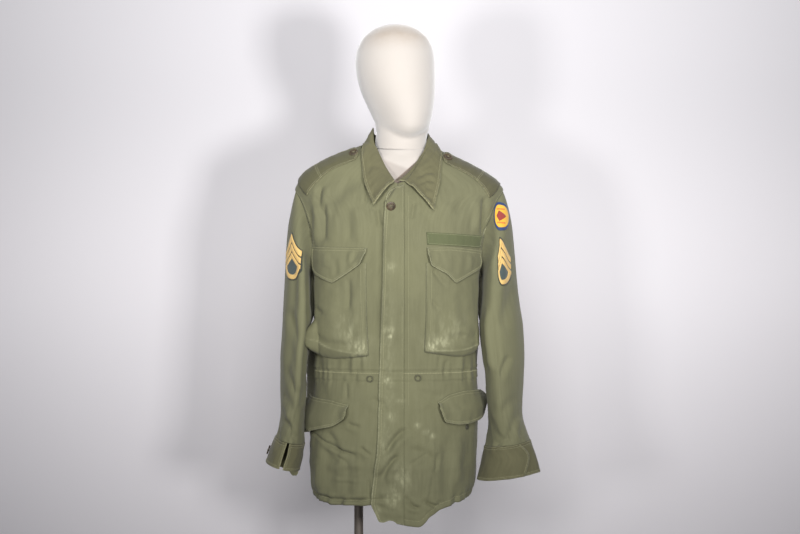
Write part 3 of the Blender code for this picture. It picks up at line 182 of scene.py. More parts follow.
def rumple(across, up, seed, turns=61):
    """Soft unevenness from -1 to 1: random heights on a square lattice of cells, joined by
    quintic steps. It repeats after a whole number of cells, so that it closes round a tube."""
    lattice = np.random.default_rng(seed).uniform(-1, 1, (turns, 67))
    i, j = np.floor(across), np.floor(up)
    s, t = across - i, up - j
    s, t = s**3 * (s * (6 * s - 15) + 10), t**3 * (t * (6 * t - 15) + 10)
    i, j = i.astype(int) % turns, j.astype(int) % 67
    right, over = (i + 1) % turns, (j + 1) % 67
    low = lattice[i, j] * (1 - s) + lattice[right, j] * s
    high = lattice[i, over] * (1 - s) + lattice[right, over] * s
    return low * (1 - t) + high * t


def creases(x, z, rows):
    """Sum of soft creases. Across its line each is a wave (1 - q) exp(-q / 2), where q is the
    squared distance in half widths, so that it has a low flank of the other sign on each side.
    Along the line it swells from nothing and dies away again."""
    total = np.zeros(np.broadcast(x, z).shape)
    for x0, z0, x1, z1, bow, width, depth in np.array(rows, float) / 1000:
        run = math.hypot(x1 - x0, z1 - z0)
        ux, uz = (x1 - x0) / run, (z1 - z0) / run
        along = ((x - x0) * ux + (z - z0) * uz) / run
        swell = np.clip(4 * along * (1 - along), 0.0, 1.0)
        off = (z - z0) * ux - (x - x0) * uz - bow * swell
        q = (off / width) ** 2
        total += depth * (1 - q) * np.exp(-0.5 * q) * ease(1.4 * swell)
    return total


def hem_height(turn):
    """Height of the hem at a place round the body, in degrees from the middle of the front."""
    share = np.abs(turn) / SIDE_SEAM_HEM
    front = np.where(
        turn < 0, smooth(HEMS["front_right"], 1, share), smooth(HEMS["front_left"], 1, share)
    )
    back = smooth(HEMS["back"], 1, (180 - np.abs(turn)) / (180 - SIDE_SEAM_HEM))
    return np.where(np.abs(turn) < SIDE_SEAM_HEM, front, back)


def panel_relief(turn, x, height):
    """How far the fine folds push the cloth out: listed creases, a broad unevenness,
    gathers on the waist channel, and the hem channel's groove and puckers."""
    front = ease(0.5 + 6 * np.cos(np.radians(turn)))
    out = 0 * (turn + height)
    for centre, low, high, spread, amount in BACK_WINGS:
        along = np.clip((height - low) / (high - low), 0, 1)
        swell = np.sin(math.pi * along) ** 0.5 * ease((high - height) / 0.05)
        out += amount * swell * np.exp(-(((turn - centre) / spread) ** 2))
    out += FRONT_CREASE_GAIN * front * creases(x, height, FRONT_CREASES)
    out += BACK_CREASE_GAIN * (1 - front) * creases(x, height, BACK_CREASES)
    off_hole = np.hypot(
        (height - (SHOULDER_TIP + ARMPIT) / 2) / ((SHOULDER_TIP - ARMPIT) / 2),
        (np.abs(turn) - 90.0) / np.where(np.abs(turn) < 90.0, ARMHOLE_FRONT, ARMHOLE_BACK),
    ) - 1
    out += ARMHOLE_WELT * np.exp(-((off_hole * 0.075 / 0.0065) ** 2))
    round_share = turn / 360 + 0.5
    low = 1 - ease((height - 0.98) / 0.16)
    calm = 1 - 0.8 * ease((height - 1.43) / 0.05)
    broad = rumple(round_share * 23, height / 0.062, 3, 23)
    middle = rumple(round_share * 47 + height * 9, height / 0.031, 5, 47)
    fine = rumple(round_share * 97, height / 0.013 + x * 30, 8, 97)
    out += calm * (0.0011 * broad + (0.0006 + 0.0005 * low) * middle)
    ridge = 0.5 - np.abs(rumple(round_share * 37 - height * 14, height / 0.042, 11, 37))
    out += calm * (0.0004 + 0.0010 * low) * ridge + 0.00018 * fine
    gather = rumple(round_share * 71, height / 0.06, 14, 71) + 0.6 * rumple(
        round_share * 127, height / 0.05, 15, 127
    )
    middle_line = sum(WAIST_LINES) / 2
    fold_up = np.where(height > middle_line, 0.030, 0.020)
    out += WAIST_GATHER * gather * np.exp(-(((height - middle_line) / fold_up) ** 2))
    for line in WAIST_LINES:
        out -= WAIST_GROOVE * np.exp(-(((height - line) / 0.0024) ** 2))
        out += WAIST_WELT * np.exp(-(((height - line - 0.0040) / 0.0026) ** 2))
    above = height - hem_height(turn)
    pucker = rumple(round_share * 83, above / 0.05, 17, 83) + 0.5 * rumple(
        round_share * 151, above / 0.03, 18, 151
    )
    calm = 0.3 + 0.7 * ease((hem_height(turn) - 0.765) / 0.02)
    out += (HEM_PUCKER * pucker * calm + 0.0008) * np.exp(-(((above - 0.007) / 0.013) ** 2))
    sharp = 0.0016 + 0.0020 * ease((0.02 - x) / 0.04)
    out -= sharp * np.exp(-(((above - HEM_CHANNEL) / 0.0034) ** 2))
    out -= HEM_DRAWN_IN * ease((np.abs(turn) - 46) / 34) * np.exp(-((above / 0.018) ** 2))
    return out


def panel_point(turn, height, fine=True):
    """Point of the body's inner face. At each height the section is a squared ellipse: half
    width times sine to a power, depth times cosine to the same power. Folds push it outwards."""
    turn, height = np.broadcast_arrays(np.asarray(turn, float), np.asarray(height, float))
    sine, cosine = np.sin(np.radians(turn)), np.cos(np.radians(turn))
    half = np.where(sine < 0, smooth(BODY, 1, height), smooth(BODY, 2, height))
    depth = np.where(cosine > 0, smooth(BODY, 3, height), smooth(BODY, 4, height))
    x = half * np.sign(sine) * np.abs(sine) ** SQUARENESS
    y = -depth * np.sign(cosine) * np.abs(cosine) ** SQUARENESS
    push = np.zeros_like(x)
    for centre, low, high, spread, amount in HANGING:
        off = (turn - centre + 180.0) % 360.0 - 180.0
        along = np.clip((height - low) / (high - low), 0.0, 1.0)
        push += amount * np.exp(-((off / spread) ** 2)) * np.sin(math.pi * along) ** 2
    if fine:
        push = push + panel_relief((turn + 180.0) % 360.0 - 180.0, x, height)
        wobble = rumple((turn + 180.0) % 360.0 / 360 * 61, 0 * turn, 19, 61)
        hem = hem_height((turn + 180.0) % 360.0 - 180.0)
        height = height + 0.0016 * wobble * ease((hem - 0.765) / 0.02) * np.exp((hem - height) / 0.018)
    away = unit(np.stack([sine / half, -cosine / depth], axis=-1))
    return np.stack([x + away[..., 0] * push, y + away[..., 1] * push, height], axis=-1)


def panel_surface(turn, height, out=0.0):
    """Point at a distance from the inner face, along the normal of the body without its folds."""
    turn, height = np.broadcast_arrays(np.asarray(turn, float), np.asarray(height, float))
    across = panel_point(turn + 0.4, height, False) - panel_point(turn - 0.4, height, False)
    up = panel_point(turn, height + 0.001, False) - panel_point(turn, height - 0.001, False)
    normal = unit(np.cross(across, up))
    return panel_point(turn, height) + normal * np.asarray(out, float)[..., None]


def fill_patch(bottom, top, start, end):
    """Fills a patch between its four edges, each a row of points: the two blends of facing
    edges, less the blend of the corners."""
    u = np.linspace(0, 1, len(bottom))[None, :, None]
    v = np.linspace(0, 1, len(start))[:, None, None]
    rails = (1 - v) * bottom[None] + v * top[None]
    sides = (1 - u) * start[:, None] + u * end[:, None]
    corners = (1 - v) * ((1 - u) * bottom[0] + u * bottom[-1])
    return rails + sides - corners - v * ((1 - u) * top[0] + u * top[-1])


def armhole(side, ring):
    """(degrees round the body, height) of the armhole, an oval; ring 0 is the shoulder and 90
    the front."""
    middle, half = (SHOULDER_TIP + ARMPIT) / 2, (SHOULDER_TIP - ARMPIT) / 2
    sine = np.sin(np.radians(ring))
    cut = np.where(sine > 0, -ARMHOLE_FRONT * sine, -ARMHOLE_BACK * sine)
    return side * (90.0 + cut), middle + half * np.cos(np.radians(ring))


def half_panel(side, name, columns, rows):
    """(degrees, height) places of a front, or of half the back, from its middle to the side
    seam: straight rows up to the armpit, then a patch to the armhole, shoulder and neckline."""
    lower_rows, hole_rows, seam_rows = rows
    share = np.linspace(0, 1, columns + 1)
    front = name != "back"
    line = NECKLINE_FRONT if front else NECKLINE_BACK
    hem_side = SIDE_SEAM_HEM if front else 180.0 - SIDE_SEAM_HEM
    hem_row = np.stack([hem_side * share, smooth(HEMS[name], 1, share)], axis=-1)
    chest_row = np.stack([90 * share, np.full_like(share, ARMPIT)], axis=-1)
    v = np.linspace(0, 1, lower_rows + 1)[:, None, None]
    lower = (1 - v) * hem_row + v * chest_row
    top_row = np.stack([smooth(line, 1, share), smooth(line, 2, share)], axis=-1)
    heights = np.linspace(ARMPIT, NECK_PIT if front else BACK_NECK, hole_rows + seam_rows + 1)
    middle_edge = np.stack([0 * heights, heights], axis=-1)
    angle, height = armhole(1, (1 if front else -1) * np.linspace(180, 0, hole_rows + 1))
    hole = np.stack([angle if front else 180 - angle, height], axis=-1)
    seam_heights = np.linspace(SHOULDER_TIP, NECK_POINT, seam_rows + 1)[1:]
    seam = np.stack([np.full(seam_rows, 90.0), seam_heights], axis=-1)
    upper = fill_patch(chest_row, top_row, middle_edge, np.concatenate([hole, seam]))
    places = np.concatenate([lower, upper[1:]])
    turn = places[..., 0] if front else 180.0 - places[..., 0]
    return side * turn, places[..., 1]


def pull_in(grid, gap, axes=(0, 1)):
    """The same grid with each border drawn in by a gap, so that neighbours stay apart."""
    grid = grid.copy()
    for axis in axes:
        lines = np.moveaxis(grid, axis, 0)
        lines[0] += unit(lines[1] - lines[0]) * gap
        lines[-1] += unit(lines[-2] - lines[-1]) * gap
    return grid


def from_axis(points):
    """Outward directions of what lies round the body."""
    return points * np.array([1.0, 1.0, 0.0])


def grid_normals(grid, wrap, outward):
    """Unit normals from the lines through each point, all turned to the outward side."""
    if wrap:
        along = np.roll(grid, -1, axis=1) - np.roll(grid, 1, axis=1)
    else:
        along = np.gradient(grid, axis=1)
    normals = unit(np.cross(along, np.gradient(grid, axis=0)))
    return normals * np.sign((normals * outward(grid)).sum())


def run_along(points, axis=0):
    """Distance walked over points along one axis, from 0 at the first of them."""
    run = np.linalg.norm(np.diff(points, axis=axis), axis=-1).cumsum(axis=axis)
    return np.concatenate([0 * run.take([0], axis), run], axis=axis)


def border_runs(grid):
    """Distances along the grid's own lines from its first and last row and column."""
    up, along = run_along(grid), run_along(grid, 1)
    return {"first": up, "last": up[-1:] - up, "start": along, "end": along[:, -1:] - along}


def spaced(rows, columns, low=0.0):
    """Even shares over a grid: from 0 to 1 down the rows, and from low to 1 along them."""
    return np.meshgrid(np.linspace(0, 1, rows), np.linspace(low, 1, columns), indexing="ij")


def grid_faces(rows, columns, wrap):
    """Corner numbers of a grid's quads, and the grid column and row of each corner."""
    i, j = np.meshgrid(np.arange(rows - 1), np.arange(columns - (not wrap)), indexing="ij")
    corner_i = np.stack([i, i, i + 1, i + 1], axis=-1).reshape(-1, 4)
    corner_j = np.stack([j, j + 1, j + 1, j], axis=-1).reshape(-1, 4)
    return corner_i * columns + corner_j % columns, corner_j, corner_i


def mesh_object(name, points, faces, finish, **values):
    """An object at the origin with smooth faces; values are numbers held by its points."""
    mesh = bpy.data.meshes.new(name)
    mesh.from_pydata(points.reshape(-1, 3).tolist(), [], faces.tolist())
    for key, numbers in values.items():
        layer = mesh.attributes.new(key, "FLOAT", "POINT")
        layer.data.foreach_set("value", np.ascontiguousarray(numbers, np.float32).ravel())
    mesh.shade_smooth()
    made = bpy.data.objects.new(name, mesh)
    mesh.materials.append(finish)
    bpy.context.scene.collection.objects.link(made)
    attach(made, "root")
    return made


def cloth(name, grid, wall, finish, wrap=False, outward=from_axis, worn=(), scuff=0.0,
          pale_edge_width=0.0011):
    """A cloth piece: the grid is its inner face, and Solidify adds the wall outwards. Its UV map
    is in metres of cloth. The named borders get a value that is 1 on them and falls off in a few
    mm; it paints them pale, as worn cloth and partly as a painted highlight on the rolled edges."""
    faces, corner_j, corner_i = grid_faces(*grid.shape[:2], wrap)
    corners = grid.reshape(-1, 3)[faces]
    facing = np.cross(corners[:, 2] - corners[:, 0], corners[:, 3] - corners[:, 1])
    if (facing * outward(corners.mean(axis=1))).sum() < 0:
        faces, corner_j, corner_i = faces[:, ::-1], corner_j[:, ::-1], corner_i[:, ::-1]
    runs = border_runs(grid)
    nearest = np.full(grid.shape[:2], 1.0)
    for border in worn:
        nearest = np.minimum(nearest, runs[border])
    made = mesh_object(
        name, grid, faces, finish, worn=np.exp(-nearest / pale_edge_width), scuff=scuff + 0 * nearest
    )
    across = np.linalg.norm(np.diff(grid[len(grid) // 2], axis=0), axis=-1).mean()
    up = np.linalg.norm(np.diff(grid[:, grid.shape[1] // 2], axis=0), axis=-1).mean()
    layer = made.data.uv_layers.new(name="UVMap")
    places = np.stack([corner_j * across, corner_i * up], axis=-1).astype(np.float32)
    layer.data.foreach_set("uv", places.ravel())
    solid = made.modifiers.new("wall", "SOLIDIFY")
    solid.thickness, solid.offset, solid.use_even_offset = wall, 1.0, False
    return made


def put(tree, kind, inputs, **settings):
    """Adds a shader node; an input is a constant or another node's output."""
    made = tree.nodes.new(kind)
    for key, value in settings.items():
        setattr(made, key, value)
    for key, value in inputs.items():
        if isinstance(value, bpy.types.NodeSocket):
            tree.links.new(value, made.inputs[key])
        else:
            made.inputs[key].default_value = value
    return made


def new_finish(name, roughness, metallic=0.0, sheen=0.0):
    """A material with its constants on the shader's own sockets: (material, tree, shader)."""
    made = bpy.data.materials.new(name)
    made.use_nodes = True
    shader = made.node_tree.nodes["Principled BSDF"]
    shader.inputs["Roughness"].default_value = roughness
    shader.inputs["Metallic"].default_value = metallic
    shader.inputs["Sheen Weight"].default_value = sheen
    return made, made.node_tree, shader


def noise(tree, vector, scale, detail, roughness=0.55):
    return put(
        tree, "ShaderNodeTexNoise",
        {"Vector": vector, "Scale": scale, "Detail": detail, "Roughness": roughness},
    ).outputs[0]


def between(tree, factor, low, high, new_low=0.0, new_high=1.0):
    """A value stretched from one range to another and held at its ends."""
    names = ("Value", "From Min", "From Max", "To Min", "To Max")
    return put(
        tree, "ShaderNodeMapRange", dict(zip(names, (factor, low, high, new_low, new_high))),
        interpolation_type="SMOOTHSTEP",
    ).outputs[0]


def blend_colours(tree, factor, first, second):
    """First colour where the factor is 0, second where it is 1."""
    return put(
        tree, "ShaderNodeMix", {0: factor, 6: first, 7: second}, data_type="RGBA"
    ).outputs[2]


def times(tree, first, second):
    return put(tree, "ShaderNodeMath", {0: first, 1: second}, operation="MULTIPLY").outputs[0]


def tint(red, green, blue):
    """Linear colour of a shade given as it looks on a screen, 0 to 255."""
    share = np.array([red, green, blue]) / 255
    linear = np.where(share <= 0.04045, share / 12.92, ((share + 0.055) / 1.055) ** 2.4)
    return (*linear.tolist(), 1.0)


def woven_cloth(name, shade, light, dark, wear_and_highlight_shade):
    """Sateen: broad fading on Object coordinates, streaks and threads along the warp on the UV
    map, pale edges (abrasion, and partly a painted highlight on the rolled edges) where the edge
    value is high, smudged rubs where "scuff" is, a slanting weave as bump."""
    made, tree, shader = new_finish(name, 0.86, sheen=0.12)
    place = put(tree, "ShaderNodeTexCoord", {})
    cloth_map = put(tree, "ShaderNodeUVMap", {}, uv_map="UVMap").outputs[0]
    worn = put(tree, "ShaderNodeAttribute", {}, attribute_name="worn").outputs[2]
    scuff = put(tree, "ShaderNodeAttribute", {}, attribute_name="scuff").outputs[2]
    broad = between(tree, noise(tree, place.outputs["Object"], 5.0, 3.0), 0.34, 0.68)
    warp = put(tree, "ShaderNodeMapping", {"Vector": cloth_map, "Scale": (120.0, 16.0, 1.0)})
    streaks = between(tree, noise(tree, warp.outputs[0], 1.0, 5.0, 0.6), 0.30, 0.72)
    colour = blend_colours(tree, broad, tint(*dark), tint(*shade))
    colour = blend_colours(tree, times(tree, streaks, 0.42), colour, tint(*light))
    stretched = put(tree, "ShaderNodeMapping", {"Vector": cloth_map, "Scale": (1500.0, 260.0, 1.0)})
    threads = between(tree, noise(tree, stretched.outputs[0], 1.0, 2.0), 0.35, 0.65)
    colour = blend_colours(tree, times(tree, threads, 0.20), colour, tint(*dark))
    grit = noise(tree, place.outputs["Object"], 310.0, 5.0, 0.7)
    # Pale edges: worn cloth, and partly a painted highlight where the rolled edges catch the light.
    edge_rub_and_highlight = times(tree, worn, between(tree, grit, 0.36, 0.62, 0.12, 0.85))
    colour = blend_colours(tree, edge_rub_and_highlight, colour, tint(*wear_and_highlight_shade))
    smudge = put(tree, "ShaderNodeMapping", {"Vector": cloth_map, "Scale": (95.0, 34.0, 1.0)})
    chalk = between(tree, noise(tree, smudge.outputs[0], 1.0, 7.0, 0.70), 0.40, 0.66)
    colour = blend_colours(
        tree, times(tree, scuff, between(tree, chalk, 0.0, 1.0, 0.18, 0.80)), colour, tint(*wear_and_highlight_shade)
    )
    tree.links.new(colour, shader.inputs["Base Color"])
    slant = put(
        tree, "ShaderNodeMapping",
        {"Vector": cloth_map, "Rotation": (0.0, 0.0, math.radians(63)), "Scale": (1.0, 1.0, 1.0)},
    )
    weave = put(
        tree, "ShaderNodeTexWave",
        {"Vector": slant.outputs[0], "Scale": 330.0, "Distortion": 1.2, "Detail": 2.0},
        wave_type="BANDS", bands_direction="X",
    ).outputs[1]
    raised = put(tree, "ShaderNodeMath", {0: weave, 1: threads}, operation="ADD").outputs[0]
    bump = put(
        tree, "ShaderNodeBump", {"Strength": 0.35, "Distance": 0.00022, "Height": raised}
    )
    coarse = put(
        tree, "ShaderNodeBump",
        {"Strength": 0.30, "Distance": 0.0010, "Normal": bump.outputs[0],
         "Height": noise(tree, place.outputs["Object"], 60.0, 5.0, 0.50)},
    )
    tree.links.new(coarse.outputs[0], shader.inputs["Normal"])
    return made


# The pale edges of these sateens are worn cloth and partly a painted highlight.
sateen = woven_cloth(
    "olive_sateen_worn", (113, 112, 82), (124, 123, 93), (104, 103, 76), (176, 175, 141)
)
dark_sateen = woven_cloth(
    "olive_sateen_handled", (102, 99, 70), (113, 110, 79), (91, 88, 62), (164, 161, 124)
)
# The straps get a darker copy of the sateen: painted shade that dims their tops under the high front
# light.
strap_sateen_painted_shade = woven_cloth(
    "olive_sateen_strap_painted_shade", (88, 86, 59), (98, 95, 67), (81, 78, 55), (146, 143, 109)
)
thread_finish, tree, shader = new_finish("pale_cotton_thread", 0.75, sheen=0.2)
lustre = noise(tree, put(tree, "ShaderNodeTexCoord", {}).outputs["Object"], 700.0, 2.0)
tree.links.new(
    blend_colours(tree, lustre, tint(142, 140, 104), tint(174, 171, 136)),
    shader.inputs["Base Color"],
)

STITCH_PITCH = 0.0034
STITCH_RADIUS = 0.00046


def stitches(name, lines):
    """Rows of thread: each line is points with their normals. A stitch is a four-sided bar on
    three rings, thin at both ends and humped in the middle, laid end to end along the line."""
    meshes = []
    for line in lines:
        run = run_along(line[:, :3])
        start = np.arange(int(run[-1] / STITCH_PITCH))[:, None] * STITCH_PITCH
        spots = start + np.array([0.12, 0.48, 0.84]) * STITCH_PITCH
        at = np.stack([np.interp(spots, run, line[:, k]) for k in range(3)], axis=-1)
        up = unit(np.stack([np.interp(spots, run, line[:, k]) for k in range(3, 6)], axis=-1))
        ahead = unit(at[:, 2:] - at[:, :1])
        side = unit(np.cross(ahead, up))
        size = STITCH_RADIUS * np.array([0.45, 1.0, 0.45])[:, None, None]
        lift = STITCH_RADIUS * np.array([-0.2, 0.5, -0.2])[:, None]
        corner = np.radians([45.0, 135.0, 225.0, 315.0])[:, None]
        ring = side[:, :, None] * np.cos(corner) + up[:, :, None] * np.sin(corner)
        meshes.append((at + up * lift)[:, :, None] + ring * size)
    points = np.concatenate(meshes)
    k = np.arange(4)
    sides = [np.stack([r + k, r + (k + 1) % 4, r + 4 + (k + 1) % 4, r + 4 + k], -1) for r in (0, 4)]
    one = np.concatenate([*sides, [[3, 2, 1, 0], [8, 9, 10, 11]]])
    faces = (np.arange(len(points))[:, None, None] * 12 + one).reshape(-1, 4)
    made = mesh_object(name, points, faces, thread_finish)
    return made


def faced(grid, wall, wrap=False, outward=from_axis):
    """The outer face of a cloth grid: points with their normals beside them."""
    normals = grid_normals(grid, wrap, outward)
    return np.concatenate([grid + normals * wall, normals], axis=-1)


def inset_line(face, border, distance, trim=0.0):
    """The line at a distance from one border, found on each grid line that leaves it, cut off
    where it comes as near as trim to the line's ends."""
    if border in ("start", "end"):
        face = face.swapaxes(0, 1)
    if border in ("last", "end"):
        face = face[::-1]
    run = border_runs(face[..., :3])["first"]
    column = np.arange(face.shape[1])
    before = np.clip((run < distance).sum(axis=0) - 1, 0, len(face) - 2)
    start, end = run[before, column], run[before + 1, column]
    share = ((distance - start) / (end - start))[:, None]
    line = face[before, column] * (1 - share) + face[before + 1, column] * share
    along = run_along(line[:, :3])
    return line[(along >= trim) & (along <= along[-1] - trim)]


def panel_line(turns, heights, out=PANEL_WALL):
    """A line drawn on the body: points with their normals, from rows of degrees and heights."""
    steps = 400
    at = np.linspace(0, 1, steps)
    knots = np.linspace(0, 1, len(np.atleast_1d(turns)))
    turn, height = np.interp(at, knots, turns), np.interp(at, knots, heights)
    points = panel_surface(turn, height, np.full(steps, out))
    inner = panel_surface(turn, height, np.full(steps, out - 0.001))
    return np.concatenate([points, unit(points - inner)], axis=-1)


def turn_at_x(x, height):
    """Degrees round the body of a front place at a distance from the middle plane."""
    half = np.where(x < 0, smooth(BODY, 1, height), smooth(BODY, 2, height))
    sine = np.clip(np.abs(x) / half, 0, 1) ** (1 / SQUARENESS)
    return np.sign(x) * np.degrees(np.arcsin(sine))


# Rubbed places on the fronts, in mm: middle (x, z), half sizes, how strong.
RUBS = (
    (-78, 1117, 15, 17, 1.10), (-101, 1140, 5, 27, 0.80), (72, 1120, 11, 9, 1.50),
    (90, 1130, 22, 14, 1.00), (-17, 1141, 3, 3, 4.00), (-19, 1155, 3, 3, 2.20),
    (-21, 1050, 3, 3, 2.80), (-15, 1285, 4, 3, 1.30), (-19, 971, 4, 4, 1.60), (-45, 768, 6, 12, 0.9),
    (-15, 1285, 8, 8, 0.70), (-19, 1155, 10, 8, 0.90), (-20, 1100, 10, 120, 0.30),
    (-19, 1140, 8, 8, 0.70), (-23, 1049, 10, 8, 0.90), (-19, 972, 10, 8, 0.80),
    (4, 1005, 8, 3, 0.70), (9, 843, 13, 21, 0.60), (-10, 803, 13, 17, 0.70),
    (42, 953, 5, 4, 1.00), (59, 940, 5, 4, 1.00), (74, 931, 5, 4, 1.00),
    (-109, 1155, 21, 34, 0.35), (114, 1155, 29, 29, 0.35), (-27, 923, 10, 42, 0.40),
)


def rubbed(grid):
    """Strength of rubbing at points of the front: bell shapes round the rubbed places."""
    total = np.zeros(grid.shape[:-1])
    for x, z, wide, high, strength in np.array(RUBS) / (1000, 1000, 1000, 1000, 1):
        spot = ((grid[..., 0] - x) / wide) ** 2 + ((grid[..., 2] - z) / high) ** 2
        total = np.maximum(total, strength * np.exp(-0.7 * spot))
    return total * (grid[..., 1] < 0)


FRONT_GRID = (78, (165, 62, 32))
BACK_GRID = (64, (140, 54, 28))
panels = {}
for name, side in (("front_right", -1), ("front_left", 1)):
    columns, rows = FRONT_GRID
    grid = panel_surface(*half_panel(side, name, columns, rows))
    panels[name] = pull_in(grid, SEAM_INSET)
columns, rows = BACK_GRID
turn, height = (
    np.concatenate([right[:, ::-1], left[:, 1:]], axis=1)
    for right, left in zip(half_panel(-1, "back", columns, rows), half_panel(1, "back", columns, rows))
)
panels["back"] = pull_in(panel_surface(turn, height), SEAM_INSET)
for name, grid in panels.items():
    cloth(
        name, grid, PANEL_WALL, sateen, scuff=rubbed(grid)
    )
    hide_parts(name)

body_seams = []
for off in (-0.0006, 0.0, 0.0006):
    body_seams.append(
        panel_line(np.linspace(-179, 179, 200), np.full(200, max(WAIST_LINES) - 0.0045 + off))
    )
for name, sides in (("front_right", (-1,)), ("front_left", (1,)), ("back", (-1, 1))):
    face = faced(panels[name], PANEL_WALL)
    body_seams.append(inset_line(face, "first", HEM_CHANNEL, 0.004))
    for side in sides:
        ring = np.linspace(174, 4, 200) * (1 if name != "back" else -1)
        angle, height = armhole(1, ring)
        inset = 3.0 if name != "back" else -3.0
        body_seams.append(panel_line(side * (angle - inset), height))
        off = 1.6 if name != "back" else -1.6
        body_seams.append(
            panel_line(side * np.linspace(SIDE_SEAM_HEM - off, 90 - off, 9), np.linspace(0.80, 1.262, 9))
        )
for x in (0.0127 - 0.0040, 0.0225):
    heights = np.linspace(0.996, 1.440, 120)
    body_seams.append(
        panel_line(turn_at_x(np.full(120, x), heights), heights, PANEL_WALL + (0.003 if x < 0.02 else 0))
    )
body_stitches = stitches("body_seam_stitches", body_seams)

# ---------------------------------------------------------------- chest pockets and their flaps
# Bellows bags of the same sateen, sewn on along three sides so that the face stands off, and
# pointed two-layer flaps, stitched along the top and 5 mm inside the edge.

THIN_WALL = 0.0016
LIFT = 0.0009
BELLOWS_ROLL = 0.013
# Inner and outer side in degrees, the seam below and the height of the gusset over it as
# (degrees, metres) corners, and the x, y, z by which the outer gusset stands away at the foot.
CHEST_POCKETS = {
    "chest_pocket_right": (
        -27.8, -75.0, ((-75.0, 1.1000), (-58.0, 1.0935), (-42.0, 1.0960), (-27.8, 1.1010)),
        ((-75.0, 0.0370), (-66.0, 0.0270), (-58.0, 0.0205), (-42.0, 0.0100), (-27.8, 0.0030)),
        (-0.0225, -0.0350, 0.0),
    ),
    "chest_pocket_left": (
        25.0, 75.0, ((25.0, 1.1090), (50.0, 1.0990), (60.0, 1.0980), (75.0, 1.1080)),
        ((25.0, 0.0030), (35.0, 0.0060), (60.0, 0.0140), (75.0, 0.0150)),
        (0.003, -0.006, 0.0),
    ),
}
POCKET_MOUTH = 1.296
# How far the bag's face stands off, from its mouth down: height, distance.
POCKET_PUFF = np.array([
    (1.105, 0.0078), (1.140, 0.0072), (1.200, 0.0050), (1.260, 0.0034), (1.300, 0.0026),
])
POCKET_CREASES = (
    (-101, 1195, -101, 1265, 0, 6, -2.0), (-170, 1201, -155, 1186, 0, 6, -1.8),
    (-178, 1150, -160, 1134, 0, 7, -1.6), (-130, 1245, -140, 1180, 4, 12, 1.2),
    (-84, 1250, -90, 1150, 0, 9, 1.0), (-160, 1130, -90, 1122, -4, 9, -1.4),
    (70, 1285, 99, 1245, 0, 6, -2.0), (70, 1218, 84, 1197, 0, 6, -1.6),
    (124, 1150, 137, 1138, 0, 6, -1.6), (110, 1240, 120, 1160, -4, 12, 1.2),
    (74, 1200, 72, 1130, 0, 8, 1.0), (90, 1135, 155, 1130, 4, 9, -1.4),
)


def turn_at_polar(polar, height):
    """Degrees round the squared ellipse of a place that lies in a given plain direction."""
    front = np.cos(np.radians(polar)) > 0
    half = np.where(polar < 0, smooth(BODY, 1, height), smooth(BODY, 2, height))
    depth = np.where(front, smooth(BODY, 3, height), smooth(BODY, 4, height))
    sine = (np.abs(np.sin(np.radians(polar))) / half) ** (1 / SQUARENESS)
    cosine = (np.abs(np.cos(np.radians(polar))) / depth) ** (1 / SQUARENESS)
    return np.degrees(np.arctan2(np.sign(polar) * sine, np.where(front, cosine, -cosine)))


def rolled(distance, radius):
    """Quarter circle from 0 at a sewn edge to 1 at a radius from it and beyond."""
    return np.sqrt(1 - (1 - np.clip(distance / radius, 0, 1)) ** 2)


def crowded(count):
    """Shares from 0 to 1 that lie closer together near both ends."""
    share = np.linspace(0, 1, count + 1)
    return share - 0.75 * np.sin(2 * math.pi * share) / (2 * math.pi)


def edge_curve(points, at, soft):
    """Height of an edge through (degrees, height) corners, its corners rounded by averaging the
    straight lines over a few degrees on each side."""
    points = np.array(sorted(points))
    spread = np.linspace(-soft, soft, 9)
    return np.mean([np.interp(at + off, points[:, 0], points[:, 1]) for off in spread], axis=0)


pocket_pieces, pocket_seams = {}, []
for name, (inner, outer, bottom, gusset, spread) in CHEST_POCKETS.items():
    v, u = np.meshgrid(crowded(84), np.append(crowded(58), (1.04, 1.08, 1.12)), indexing="ij")
    back_again, u = np.clip((u - 1) / 0.12, 0, 1), np.minimum(u, 1)
    width = abs(outer - inner) * 0.0031
    polar = inner + u * (outer - inner)
    low, lip = edge_curve(bottom, polar, 2.0), edge_curve(gusset, polar, 2.0)
    height = low + v * (POCKET_MOUTH - low)
    from_side, from_bottom = np.minimum(u, 1 - u) * width, height - low
    turn = turn_at_polar(polar, height)
    puff = smooth(POCKET_PUFF, 1, height)
    puff = puff * rolled(from_side, BELLOWS_ROLL) * rolled(from_bottom, lip)
    puff = puff + 0.0013 * np.exp(-(((from_bottom - lip) / 0.0022) ** 2)) * rolled(from_side, 0.01)
    flat_x = panel_point(turn, height, False)[..., 0]
    settled = rolled(from_side, 0.02) * rolled(from_bottom, 0.03)
    relief = 1.7 * creases(flat_x, height, POCKET_CREASES) * settled
    relief += 0.0006 * settled * rumple(u * 9, v * 11, 21) + 0.0003 * rumple(u * 22, v * 30, 22)
    grid = panel_surface(turn, height, PANEL_WALL + LIFT + np.maximum(puff + relief, 0.0))
    flare = ease((u - 0.84) / 0.16) * ease((1.180 - height) / 0.040) * ease((height - low + 0.004) / 0.026)
    grid = grid + (flare * (1 - back_again))[..., None] * np.array(spread)
    ridge = 0.55 * np.exp(-(((from_bottom - lip - 0.0008) / 0.0013) ** 2))
    pocket_pieces[name] = cloth(
        name, grid, THIN_WALL, sateen, worn=("start", "end"),
        scuff=np.maximum(rubbed(grid), ridge),
    )
    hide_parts(name)
    face = faced(grid, THIN_WALL)
    pocket_seams.append(inset_line(face, "start", 0.0125, 0.010))
pocket_stitches = stitches("chest_pocket_stitches", pocket_seams)

